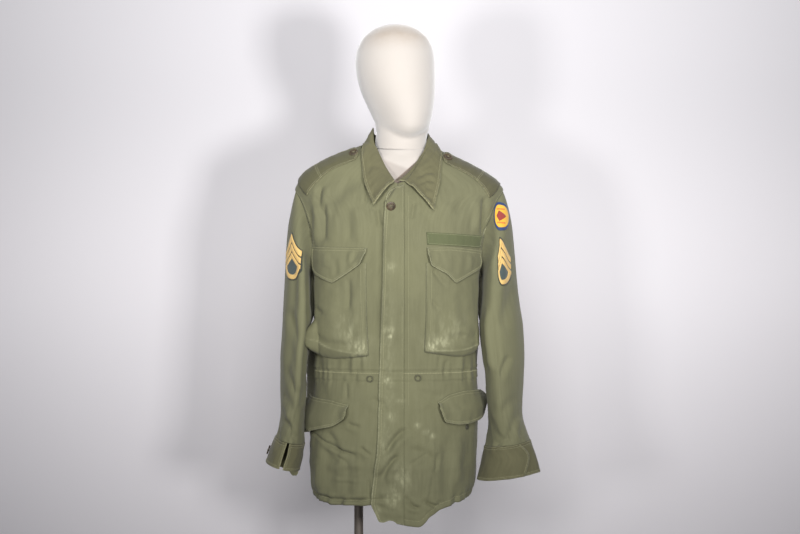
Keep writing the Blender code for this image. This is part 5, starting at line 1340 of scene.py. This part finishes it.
strap_normals = {}
for word, side, sleeve_end, collar_end in STRAPS:
    u, v = np.meshgrid(np.linspace(-1, 1, 34), np.linspace(0, 1, 72), indexing="ij")
    half = STRAP_WIDE + (STRAP_NARROW - STRAP_WIDE) * v
    reach = smooth(STRAP_MIDDLE, 1, v) - STRAP_LEFT_LOWER * (side > 0) + u * half
    start = sleeve_end - STRAP_BOW * (reach[:, :1] - STRAP_RIDGE) ** 2
    end = collar_end + STRAP_NARROW * STRAP_ROUND * (1 - np.sqrt(1 - 0.98 * u**2))
    seat = shoulder_place(side * (start + (end - start) * v), reach)
    normals = grid_normals(seat, False, upwards)
    runs = border_runs(seat)
    out = PANEL_WALL + LIFT + 0.0013 * (1 - u**2) * np.sin(math.pi * v) ** 0.5
    out = out + 0.0016 * ease((v - 0.8) / 0.2) + 0.0006 * rumple(u * 2, v * 9, 80 + side)
    out = out + flap_edge_relief(runs, ("first", "last", "end"), 0.0050)
    out = out - 0.0006 * np.exp(-(((v - 0.30) / 0.012) ** 2))
    grid = seat + normals * np.maximum(out, PANEL_WALL + LIFT)[..., None]
    # The straps' darker sateen is painted shade on their lit tops.
    made = cloth(
        f"epaulette_{word}", grid, THIN_WALL, strap_sateen_painted_shade, False, upwards,
        ("first", "last", "end"),
    )
    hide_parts(f"epaulette_{word}")
    face = faced(grid, THIN_WALL, False, upwards)
    rows = [inset_line(face, "first", 0.0050, 0.005), inset_line(face, "last", 0.0050, 0.005)]
    rows += [inset_line(face, "end", 0.0050, 0.008), face[:, 20], face[:, 22]]
    sewn = stitches(f"epaulette_{word}_stitches", rows)
    strap_normals[word] = normals[15, 60]

# ---------------------------------------------------------------- embroidered badges
# Twill grounds cut to shape, with padded satin-stitched stripes standing on them, sewn to the
# fronts of both sleeves; on the left upper arm a plain round badge with a rim, a lozenge
# and two bars.


def embroidery(name, first, second, slant=0.0):
    """Satin thread: fine parallel lines on Object coordinates between two near shades."""
    made, tree, shader = new_finish(name, 0.62, sheen=0.25)
    place = put(tree, "ShaderNodeTexCoord", {}).outputs["Object"]
    turned = put(
        tree, "ShaderNodeMapping", {"Vector": place, "Rotation": (0.0, math.radians(slant), 0.0)}
    ).outputs[0]
    lines = put(
        tree, "ShaderNodeTexWave", {"Vector": turned, "Scale": 420.0, "Distortion": 1.5, "Detail": 1.0},
        wave_type="BANDS", bands_direction="Z",
    ).outputs[1]
    soil = between(tree, noise(tree, place, 60.0, 5.0), 0.35, 0.7)
    colour = blend_colours(tree, lines, tint(*second), tint(*first))
    colour = blend_colours(tree, times(tree, soil, 0.35), colour, tint(*second))
    tree.links.new(colour, shader.inputs["Base Color"])
    bump = put(tree, "ShaderNodeBump", {"Strength": 0.4, "Distance": 0.0003, "Height": lines})
    tree.links.new(bump.outputs[0], shader.inputs["Normal"])
    return made


gold = embroidery("gold_thread", (236, 202, 128), (214, 172, 98), 30)
slate = embroidery("slate_thread", (80, 92, 90), (62, 74, 72))
ink = embroidery("ink_thread", (58, 62, 50), (44, 48, 38))
blue = embroidery("blue_thread", (44, 68, 120), (32, 52, 96))
yellow = embroidery("yellow_thread", (246, 196, 66), (226, 168, 48))
red = embroidery("red_thread", (166, 66, 54), (142, 50, 44))
orange = embroidery("orange_thread", (232, 140, 60), (205, 116, 48))

BADGE_WALL = 0.0012


class SleeveSpot:
    """A place on a sleeve: turns distances round it and heights into (station, ring). A badge
    that is sewn on over a fold is narrower on its inner side and wider on the outer one."""

    def __init__(self, side, middle_x, middle_z, inner=1.0, outer=1.0):
        self.side, self.middle_z, self.inner, self.outer = side, middle_z, inner, outer
        stations = np.linspace(0.0, SLEEVE_END, 160)
        rings = np.linspace(-40.0, 165.0, 104)
        self.heights = middle_z + np.linspace(-0.070, 0.070, 71)
        self.reach = np.linspace(-0.050, 0.050, 81)
        lines = sleeve_ring(side, *np.meshgrid(stations, rings))[..., 2]
        station = np.array([np.interp(-self.heights, -line, stations) for line in lines]).T
        ring = np.broadcast_to(rings, station.shape)
        points = sleeve_ring(side, station, ring)
        run = np.linalg.norm(np.diff(points, axis=1), axis=-1).cumsum(axis=1)
        run = np.concatenate([0 * run[:, :1], run], axis=1)
        front = (rings >= 6.0) & (rings <= 110.0)
        self.ring, self.station = np.zeros((2, 71, 81))
        for row in range(71):
            spread = np.abs(points[row, :, 0])
            zero = np.interp(middle_x, spread[front][::-1], run[row, front][::-1])
            self.ring[row] = np.interp(self.reach, run[row] - zero, rings)
            self.station[row] = np.interp(self.ring[row], rings, station[row])

    def point(self, across, up, out):
        """Point at a distance round the sleeve and up from the middle, on its outer face."""
        across = across * np.where(across > 0, self.inner, self.outer)
        column = (across - self.reach[0]) / (self.reach[1] - self.reach[0])
        row = (up + self.middle_z - self.heights[0]) / (self.heights[1] - self.heights[0])
        j = np.clip(np.floor(column), 0, 79).astype(int)
        i = np.clip(np.floor(row), 0, 69).astype(int)
        s, t = column - j, row - i
        place = [
            (table[i, j] * (1 - s) + table[i, j + 1] * s) * (1 - t)
            + (table[i + 1, j] * (1 - s) + table[i + 1, j + 1] * s) * t
            for table in (self.station, self.ring)
        ]
        return sleeve_surface(self.side, *place, PANEL_WALL + out)


def shield(count):
    """Places of the rank ground: gabled top, straight sides and a rounded foot, in metres."""
    down, across = np.meshgrid(np.linspace(0, 1, count[0]), np.linspace(-1, 1, count[1]), indexing="ij")
    x = across * 0.0222
    slope = np.sqrt(across**2 + 0.0012) - 0.034
    top = 0.0500 - 0.0420 * (1.28 * slope - 0.28 * slope**2)
    bottom = -0.0530 + 0.0260 * (1 - np.sqrt(1 - 0.94 * across**2))
    return x, top + (bottom - top) * down


def chevron(count, peak, end, thick):
    """Places of a chevron: its top line falls from the peak to the end height at both sides."""
    down, across = np.meshgrid(np.linspace(0, 1, count[0]), np.linspace(-1, 1, count[1]), indexing="ij")
    x = across * 0.0208
    fall = (peak - end) * (1.28 * np.abs(across) - 0.28 * across**2)
    return x, peak - fall - down * (thick[0] + (thick[1] - thick[0]) * np.abs(across)), down


def rocker(count, ends, foot, thick):
    """Places of the rocker: half an oval band that closes the lowest chevron from below."""
    down, around = np.meshgrid(np.linspace(0, 1, count[0]), np.linspace(-1, 1, count[1]), indexing="ij")
    angle = around * math.pi / 2
    width = 0.0208 - down * thick * 0.75
    return width * np.sin(angle), ends - (ends - foot - down * thick) * np.cos(angle), down


def badge_piece(name, spot, x, up, lift, wall, finish):
    """A badge layer on the sleeve at a lift above its outer face."""
    grid = spot.point(x, up, lift)
    return cloth(name, grid, wall, finish, False, from_sleeve)


for word, side, middle_x, middle_z, inner, outer in (
    ("right", -1, 0.2255, 1.3120, 1.15, 1.6), ("left", 1, 0.2180, 1.3005, 0.34, 1.80),
):
    spot = SleeveSpot(side, middle_x, middle_z, inner, outer)
    x, up = shield((60, 44))
    ground = badge_piece(f"rank_patch_{word}", spot, x, up, LIFT, BADGE_WALL, ink)
    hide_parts(f"rank_patch_{word}")
    for number, (peak, end, thick) in enumerate((
        (0.0470, 0.0088, (0.0168, 0.0122)),
        (0.0258, -0.0062, (0.0152, 0.0120)),
        (0.0066, -0.0212, (0.0120, 0.0086)),
    )):
        x, up, down = chevron((9, 61), peak, end, thick)
        lift = LIFT + BADGE_WALL + 0.0010 * np.sin(math.pi * down) ** 0.5
        badge_piece(f"rank_stripe_{word}_{number}", spot, x, up, lift, 0.0005, gold)
    x, up, down = rocker((9, 61), -0.0215, -0.0505, 0.0095)
    lift = LIFT + BADGE_WALL + 0.0010 * np.sin(math.pi * down) ** 0.5
    badge_piece(f"rank_rocker_{word}", spot, x, up, lift, 0.0005, gold)
    down, across = spaced(24, 30, -1)
    x = across * 0.0165
    top = -0.0060 - 1.30 * np.abs(x)
    bottom = -0.0262 - 0.0150 * np.sqrt(1 - 0.98 * across**2)
    badge_piece(
        f"rank_field_{word}", spot, x, top + (bottom - top) * down,
        LIFT + BADGE_WALL, 0.0004, slate,
    )

spot = SleeveSpot(1, 0.2190, 1.3955, 0.35, 1.15)
radius, angle = np.meshgrid(np.linspace(0.02, 1, 26), np.linspace(0, 2 * math.pi, 65)[:-1], indexing="ij")


def disc(start, end, lift, name, finish, wall=0.0005, squash=1.0):
    """Layer of the round badge between two shares of its radius."""
    share = start + (end - start) * radius
    x, up = share * 0.0275 * np.sin(angle), share * 0.0310 * np.cos(angle) * squash
    return cloth(name, spot.point(x, up, lift), wall, finish, True, from_sleeve)


round_ground = disc(0.0, 1.0, LIFT, "shoulder_patch", blue, BADGE_WALL)
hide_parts("shoulder_patch")
round_parts = [disc(0.0, 0.80, LIFT + BADGE_WALL, "shoulder_patch_field", yellow)]
for number, (up_middle, half_high, half_wide, shade) in enumerate((
    (0.0, 0.0085, 0.0085, red), (0.0150, 0.0016, 0.0090, orange), (-0.0150, 0.0016, 0.0090, orange),
)):
    v, u = np.meshgrid(np.linspace(-1, 1, 13), np.linspace(-1, 1, 13), indexing="ij")
    if number == 0:
        x, up = (u - v) / 2 * half_wide * 1.4, (u + v) / 2 * half_high * 1.4
    else:
        x, up = u * half_wide, up_middle + v * half_high
    round_parts.append(badge_piece(
        f"shoulder_patch_bar_{number}", spot, x, up + 0 * x, LIFT + BADGE_WALL + 0.0005, 0.0006, shade
    ))

# ---------------------------------------------------------------- buttons, eyelets and stud
# Four-hole brown urea buttons sewn on with pale thread, thread-bound eyelets for the waist
# cord, and the dark socket of a snap under the left hip flap.

button_finish, tree, shader = new_finish("brown_button_moulded", 0.38)
place = put(tree, "ShaderNodeTexCoord", {}).outputs["Object"]
cloudy = between(tree, noise(tree, place, 160.0, 4.0), 0.35, 0.65)
tree.links.new(
    blend_colours(tree, cloudy, tint(58, 49, 36), tint(88, 74, 54)), shader.inputs["Base Color"]
)
bump = put(tree, "ShaderNodeBump", {"Strength": 0.2, "Distance": 0.0002, "Height": cloudy})
tree.links.new(bump.outputs[0], shader.inputs["Normal"])
metal_finish, tree, shader = new_finish("dark_snap_worn", 0.5, metallic=0.35)
place = put(tree, "ShaderNodeTexCoord", {}).outputs["Object"]
tree.links.new(
    blend_colours(tree, noise(tree, place, 400.0, 4.0), tint(58, 58, 50), tint(112, 110, 94)),
    shader.inputs["Base Color"],
)


def node_object(name):
    """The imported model's own object for a node."""
    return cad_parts[name]


BUTTONS = {
    "front_button": (0.0, -1.0, 0.10),
    "epaulette_button_right": tuple(strap_normals["right"]),
    "epaulette_button_left": tuple(strap_normals["left"]),
    "cuff_button_right": (-0.95, -0.25, 0.25),
}
for name, direction in BUTTONS.items():
    for material_slot in node_object(name).material_slots:
        material_slot.material = button_finish
    low, high = (np.array(corner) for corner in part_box(name))
    middle, up = (low + high) / 2, unit(np.array(direction))
    side = unit(np.cross(up, (0.3, 0.2, 1.0)))
    ahead = np.cross(up, side)
    rows = []
    for i, j in ((1, 1), (-1, 1)):
        reach = np.linspace(-1, 1, 12)[:, None]
        line = middle + up * (0.0022 - 0.0006 * reach**2) + 0.0024 * reach * (side * i + ahead * j)
        rows.append(np.concatenate([line, 0 * line + up], axis=-1))
    stitches(name + "_thread", rows)
for material_slot in node_object("snap_stud").material_slots:
    material_slot.material = metal_finish

eyelet_finish, tree, shader = new_finish("dull_eyelet_thread", 0.8, sheen=0.1)
place = put(tree, "ShaderNodeTexCoord", {}).outputs["Object"]
tree.links.new(
    blend_colours(tree, noise(tree, place, 500.0, 4.0), tint(58, 58, 44), tint(120, 118, 92)),
    shader.inputs["Base Color"],
)
for word in ("right", "left"):
    low, high = (np.array(corner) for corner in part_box(f"eyelet_{word}"))
    middle = (low + high) / 2
    around, tube = np.meshgrid(
        np.linspace(0, 2 * math.pi, 121)[:-1], np.linspace(0, 2 * math.pi, 11)[:-1], indexing="ij"
    )
    thick = 0.0011 * (1 + 0.16 * np.cos(around * 30))
    ring = 0.0060 + thick * np.cos(tube)
    tilt = -0.05
    z = ring * np.cos(around)
    grid = np.stack([ring * np.sin(around), -thick * np.sin(tube) + tilt * z, z], axis=-1) + middle
    faces, _, _ = grid_faces(121, 10, True)
    made = mesh_object(f"eyelet_{word}", grid, (faces % grid[..., 0].size)[:, ::-1], eyelet_finish)
    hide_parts(f"eyelet_{word}")

# ---------------------------------------------------------------- dress form
# Foam torso without arms and an egg head, both covered in cream cotton jersey with narrow seams
# at the crown and round the neck. The crown is darker and tan towards the top, partly soiled and
# partly painted shade; painted shade greys the base of the neck, and a painted brown shadow lies
# in the throat.

jersey, tree, shader = new_finish("cream_jersey_knit", 0.92, sheen=1.0)
place = put(tree, "ShaderNodeTexCoord", {})
axes = put(tree, "ShaderNodeSeparateXYZ", {"Vector": place.outputs["Object"]}).outputs
# Darker, tan crown towards the top: partly soiling, partly painted shade where the frontal light grazes
# it.
soil_and_crown_shade = between(tree, axes[2], 1.745, 1.815)
slopes = [
    put(tree, "ShaderNodeMath", {0: axes[0], 1: lean, 2: axes[2]}, operation="MULTIPLY_ADD")
    for lean in (0.41, -0.89)
]
# Painted shade: greys the base of the neck below a slanting line.
painted_neck_shade = between(tree, slopes[0].outputs[0], 1.512, 1.503)
# Painted shadow: brown, below the other slanting line in the throat, where the collar's inner stand lies
# in shade.
painted_throat_shadow = between(tree, slopes[1].outputs[0], 1.482, 1.479)
blotch = noise(tree, place.outputs["Object"], 24.0, 5.0, 0.6)
colour = blend_colours(
    tree, times(tree, blotch, 0.35), tint(188, 181, 174), tint(179, 170, 159)
)
colour = blend_colours(
    tree, times(tree, soil_and_crown_shade, between(tree, blotch, 0.2, 0.7, 0.5, 1.0)), colour, tint(158, 140, 120)
)
colour = blend_colours(tree, times(tree, painted_neck_shade, 0.5), colour, tint(150, 140, 132))
colour = blend_colours(tree, times(tree, painted_throat_shadow, 0.92), colour, tint(112, 98, 84))
tree.links.new(colour, shader.inputs["Base Color"])
knit = put(
    tree, "ShaderNodeTexWave",
    {"Vector": place.outputs["Object"], "Scale": 240.0, "Distortion": 2.5, "Detail": 2.0},
    wave_type="BANDS", bands_direction="X",
).outputs[1]
bump = put(tree, "ShaderNodeBump", {"Strength": 0.25, "Distance": 0.0003, "Height": knit})
coarse = put(
    tree, "ShaderNodeBump",
    {"Strength": 0.35, "Distance": 0.0015, "Normal": bump.outputs[0], "Height": blotch},
)
tree.links.new(coarse.outputs[0], shader.inputs["Normal"])

FORM_BOTTOM, FORM_TOP = 0.870, 1.5470
NECK_X, NECK_Y, NECK_RADIUS = 0.0055, -0.0060, 0.0580
SEAM_DIP = 0.006
FORM_EASE = np.array([
    (0.870, 0.0200), (0.950, 0.0160), (1.060, 0.0220), (1.200, 0.0130), (1.320, 0.0090),
    (1.400, 0.0060), (1.450, 0.0030), (1.475, 0.0040), (1.510, 0.0040), (1.556, 0.0050),
])
HEAD_TURN = math.radians(14.0)
JAW_RISE = 0.030
# Height, middle x, half width, depth to the face and to the nape.
HEAD = np.array([
    (1.5473, 0.0065, 0.0570, 0.0570, 0.0570), (1.5660, 0.0065, 0.0560, 0.0580, 0.0560),
    (1.5780, 0.0085, 0.0560, 0.0800, 0.0560), (1.5900, 0.0100, 0.0580, 0.0890, 0.0600),
    (1.6040, 0.0095, 0.0600, 0.0925, 0.0680), (1.6176, 0.0084, 0.0642, 0.0945, 0.0770),
    (1.6440, 0.0048, 0.0723, 0.0960, 0.0920), (1.6726, 0.0003, 0.0800, 0.0965, 0.1020),
    (1.7120, -0.0045, 0.0855, 0.0955, 0.1080), (1.7360, -0.0058, 0.0866, 0.0930, 0.1080),
    (1.7600, -0.0058, 0.0840, 0.0880, 0.1040), (1.7850, -0.0055, 0.0740, 0.0780, 0.0930),
    (1.8030, -0.0050, 0.0570, 0.0600, 0.0730), (1.8140, -0.0045, 0.0370, 0.0390, 0.0470),
    (1.8200, -0.0040, 0.0080, 0.0080, 0.0110),
])


def closed_rings(name, rings, finish):
    """Closed body through stacked rings, each end drawn together to one middle point."""
    rows, sides = rings.shape[:2]
    faces, _, _ = grid_faces(rows, sides, True)
    points = np.concatenate([rings.reshape(-1, 3), rings[[0, -1]].mean(axis=1)])
    k = np.arange(sides)
    low = np.stack([(k + 1) % sides, k, 0 * k + rows * sides], axis=-1)
    last = (rows - 1) * sides
    high = np.stack([last + k, last + (k + 1) % sides, 0 * k + rows * sides + 1], axis=-1)
    corner = points[faces[0]]
    facing = np.cross(corner[2] - corner[0], corner[3] - corner[1])
    every = faces.tolist() + low.tolist() + high.tolist()
    if facing @ (corner.mean(axis=0) - rings[0].mean(axis=0)) < 0:
        every = [face[::-1] for face in every]
    made = mesh_object(name, points, np.array(every, object), finish)
    return made


angles = np.linspace(0, 360, 96, endpoint=False)
height, angle = np.meshgrid(np.linspace(FORM_BOTTOM, FORM_TOP, 110), angles, indexing="ij")
slack = smooth(FORM_EASE, 1, height) + 0.006 * np.cos(np.radians(angle)) ** 2
turn = (angle + 180) % 360 - 180
inner = panel_point(turn, height, False)
inner = inner - unit(from_axis(inner)) * slack[..., None]
neck = np.stack([
    NECK_X + NECK_RADIUS * np.sin(np.radians(angle)),
    NECK_Y - NECK_RADIUS * np.cos(np.radians(angle)), height,
], axis=-1)
share = ease((height - 1.490) / 0.045)[..., None]
grid = (1 - share) * inner + share * neck
dip = SEAM_DIP * np.cos(np.radians(angle)) * np.exp(-(((height - FORM_TOP) / 0.020) ** 2))
grid[..., 2] -= dip
torso = closed_rings("form_torso", grid, jersey)
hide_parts("form_torso")

levels = np.concatenate([
    np.linspace(1.5473, 1.790, 90), 1.8200 - 0.030 * np.cos(np.linspace(0.12, math.pi / 2, 26))
])
height, angle = np.meshgrid(levels, np.linspace(0, 2 * math.pi, 120, endpoint=False), indexing="ij")
middle_x, half, nape = (smooth(HEAD, k, height) for k in (1, 2, 4))
face_depth = smooth(HEAD, 3, height - JAW_RISE * np.sin(angle) ** 2 * (height < 1.70))
forward = np.cos(angle) * np.where(np.cos(angle) > 0, face_depth, nape)
across = half * np.sin(angle)
x = middle_x + across * math.cos(HEAD_TURN) + forward * math.sin(HEAD_TURN)
y = NECK_Y + across * math.sin(HEAD_TURN) - forward * math.cos(HEAD_TURN)
groove = 1 - 0.010 * np.exp(-(((height - 1.5510) / 0.0016) ** 2))
grid = np.stack([middle_x + (x - middle_x) * groove, NECK_Y + (y - NECK_Y) * groove, height], axis=-1)
grid[..., 2] -= SEAM_DIP * np.cos(angle) * np.exp(-(((height - FORM_TOP) / 0.020) ** 2))
head = closed_rings("form_head", grid, jersey)
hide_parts("form_head")

# ---------------------------------------------------------------- stand
# A steel pole that stands off the middle, in a collar on a round base plate, dull and tarnished.

steel, tree, shader = new_finish("tarnished_steel", 0.55, metallic=0.35)
place = put(tree, "ShaderNodeTexCoord", {}).outputs["Object"]
drawn = put(tree, "ShaderNodeMapping", {"Vector": place, "Scale": (900.0, 900.0, 12.0)}).outputs[0]
brushed = noise(tree, drawn, 1.0, 3.0)
tarnish = between(tree, noise(tree, place, 14.0, 5.0), 0.35, 0.7)
colour = blend_colours(tree, brushed, tint(98, 90, 82), tint(118, 110, 102))
tree.links.new(
    blend_colours(tree, times(tree, tarnish, 0.5), colour, tint(90, 80, 70)),
    shader.inputs["Base Color"],
)
bump = put(tree, "ShaderNodeBump", {"Strength": 0.15, "Distance": 0.0002, "Height": brushed})
tree.links.new(bump.outputs[0], shader.inputs["Normal"])

POLE_X, POLE_Y, POLE_RADIUS = -0.087, 0.020, 0.010
SOCKET_RADIUS, SOCKET_HEIGHT = 0.019, 0.060
BASE_RADIUS, BASE_THICKNESS = 0.190, 0.010


def turned(name, profile, sides, middle, closed=False):
    """A profile of (radius, height) rows turned round an upright line; a closed profile makes
    a ring with a hole through it."""
    profile = np.array(profile)
    around = np.linspace(0, 2 * math.pi, sides, endpoint=False)
    rings = np.stack([
        middle[0] + profile[:, :1] * np.cos(around), middle[1] + profile[:, :1] * np.sin(around),
        profile[:, 1:] + 0 * around,
    ], axis=-1)
    if not closed:
        return closed_rings(name, rings, steel)
    faces, _, _ = grid_faces(len(rings) + 1, sides, True)
    made = mesh_object(name, rings, faces % (len(rings) * sides), steel)
    return made


def rounded_rim(radius, low, high, edge):
    """Profile rows of a round plate with softly rounded rims."""
    arc = np.linspace(0, math.pi / 2, 6)
    foot = [(radius - edge + edge * math.sin(a), low + edge - edge * math.cos(a)) for a in arc]
    brow = [(radius - edge + edge * math.cos(a), high - edge + edge * math.sin(a)) for a in arc]
    return foot + brow


base = turned("stand_base", rounded_rim(BASE_RADIUS, 0.0, BASE_THICKNESS, 0.003), 120, (0, 0))
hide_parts("stand_base")
pole = turned(
    "stand_pole", rounded_rim(POLE_RADIUS, BASE_THICKNESS + SEAM_GAP, FORM_BOTTOM - SEAM_GAP, 0.0006),
    48, (POLE_X, POLE_Y),
)
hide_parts("stand_pole")
low, high, inner = BASE_THICKNESS + SEAM_GAP, BASE_THICKNESS + SOCKET_HEIGHT, POLE_RADIUS + SEAM_GAP
socket = turned(
    "stand_socket",
    [(inner, low)] + rounded_rim(SOCKET_RADIUS, low, high, 0.003) + [(inner, high)],
    64, (POLE_X, POLE_Y), True,
)
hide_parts("stand_socket")

# ---------------------------------------------------------------- studio
# Pale backdrop and grey floor, a large softbox behind the camera that is aimed high, two small
# ones at chest height that throw the faint shadows, and a dim room round them. The backdrop
# is painted greyer towards the top: painted shade.


def paint(name, shade, other, one_sided=False, above=()):
    """Matt paint, slightly uneven, and greyer above as painted shade when a shade for above is
    given; a one-sided one is clear from behind.
    """
    made, tree, shader = new_finish(name, 0.9)
    place = put(tree, "ShaderNodeTexCoord", {}).outputs["Object"]
    colour = blend_colours(tree, noise(tree, place, 1.3, 3.0), tint(*shade), tint(*other))
    if above:
        height = put(tree, "ShaderNodeSeparateXYZ", {"Vector": place}).outputs[2]
        # Painted shade: the paint greys towards the top.
        colour = blend_colours(tree, between(tree, height, 1.15, 1.80), colour, tint(*above))
    tree.links.new(colour, shader.inputs["Base Color"])
    if one_sided:
        behind = put(tree, "ShaderNodeNewGeometry", {}).outputs["Backfacing"]
        clear = put(tree, "ShaderNodeBsdfTransparent", {}).outputs[0]
        mixed = put(tree, "ShaderNodeMixShader", {0: behind, 1: shader.outputs[0], 2: clear})
        tree.links.new(mixed.outputs[0], tree.nodes["Material Output"].inputs[0])
    return made


def flat_board(name, corners, finish):
    mesh = bpy.data.meshes.new(name)
    mesh.from_pydata(corners, [], [(0, 1, 2, 3)])
    mesh.materials.append(finish)
    made = bpy.data.objects.new(name, mesh)
    bpy.context.scene.collection.objects.link(made)
    return made


WALL_Y = 0.62
flat_board(
    "studio_floor", [(-4, -5, -0.0005), (4, -5, -0.0005), (4, 5, -0.0005), (-4, 5, -0.0005)],
    paint("floor_paint", (112, 108, 106), (120, 117, 115)),
)
# The backdrop greys towards the top: painted shade.
flat_board(
    "studio_wall", [(-5, WALL_Y, 0), (5, WALL_Y, 0), (5, WALL_Y, 5), (-5, WALL_Y, 5)],
    paint("wall_paint", (234, 229, 232), (239, 236, 239), True, (210, 207, 210)),
)


def soft_light(name, place, aim, size, power, spread):
    """Square softbox that points from its place to its aim."""
    light = bpy.data.lights.new(name, "AREA")
    light.shape, light.size, light.energy = "SQUARE", size, power
    light.spread = math.radians(spread)
    made = bpy.data.objects.new(name, light)
    made.location = place
    direction = np.array(aim) - np.array(place)
    flat = math.hypot(direction[0], direction[1])
    made.rotation_euler = (
        math.pi / 2 + math.atan2(direction[2], flat), 0.0,
        math.atan2(-direction[0], direction[1]),
    )
    made.visible_camera = False
    bpy.context.scene.collection.objects.link(made)


soft_light("light_front", (0.0, -3.4, 2.60), (0.10, 0.3, 2.02), 1.6, 13.2, 58)
soft_light("light_left", (-1.12, -2.5, 1.20), (0.0, 0.3, 2.05), 0.35, 4.9, 72)
soft_light("light_right", (0.95, -2.5, 1.20), (0.1, 0.3, 1.88), 0.35, 8.4, 72)
world = bpy.data.worlds.new("studio_room")
world.use_nodes = True
world.node_tree.nodes["Background"].inputs[0].default_value = (0.90, 0.93, 1.0, 1.0)
world.node_tree.nodes["Background"].inputs[1].default_value = 0.27
bpy.context.scene.world = world
bpy.context.scene.view_settings.view_transform = "Standard"

lens = bpy.data.cameras.new("camera")
lens.sensor_width, lens.lens = 36.0, 65.45
camera = bpy.data.objects.new("camera", lens)
camera.location = (0.0044, -3.2, 1.2876)
camera.rotation_euler = (math.pi / 2, 0.0, 0.0)
bpy.context.scene.collection.objects.link(camera)
bpy.context.scene.camera = camera
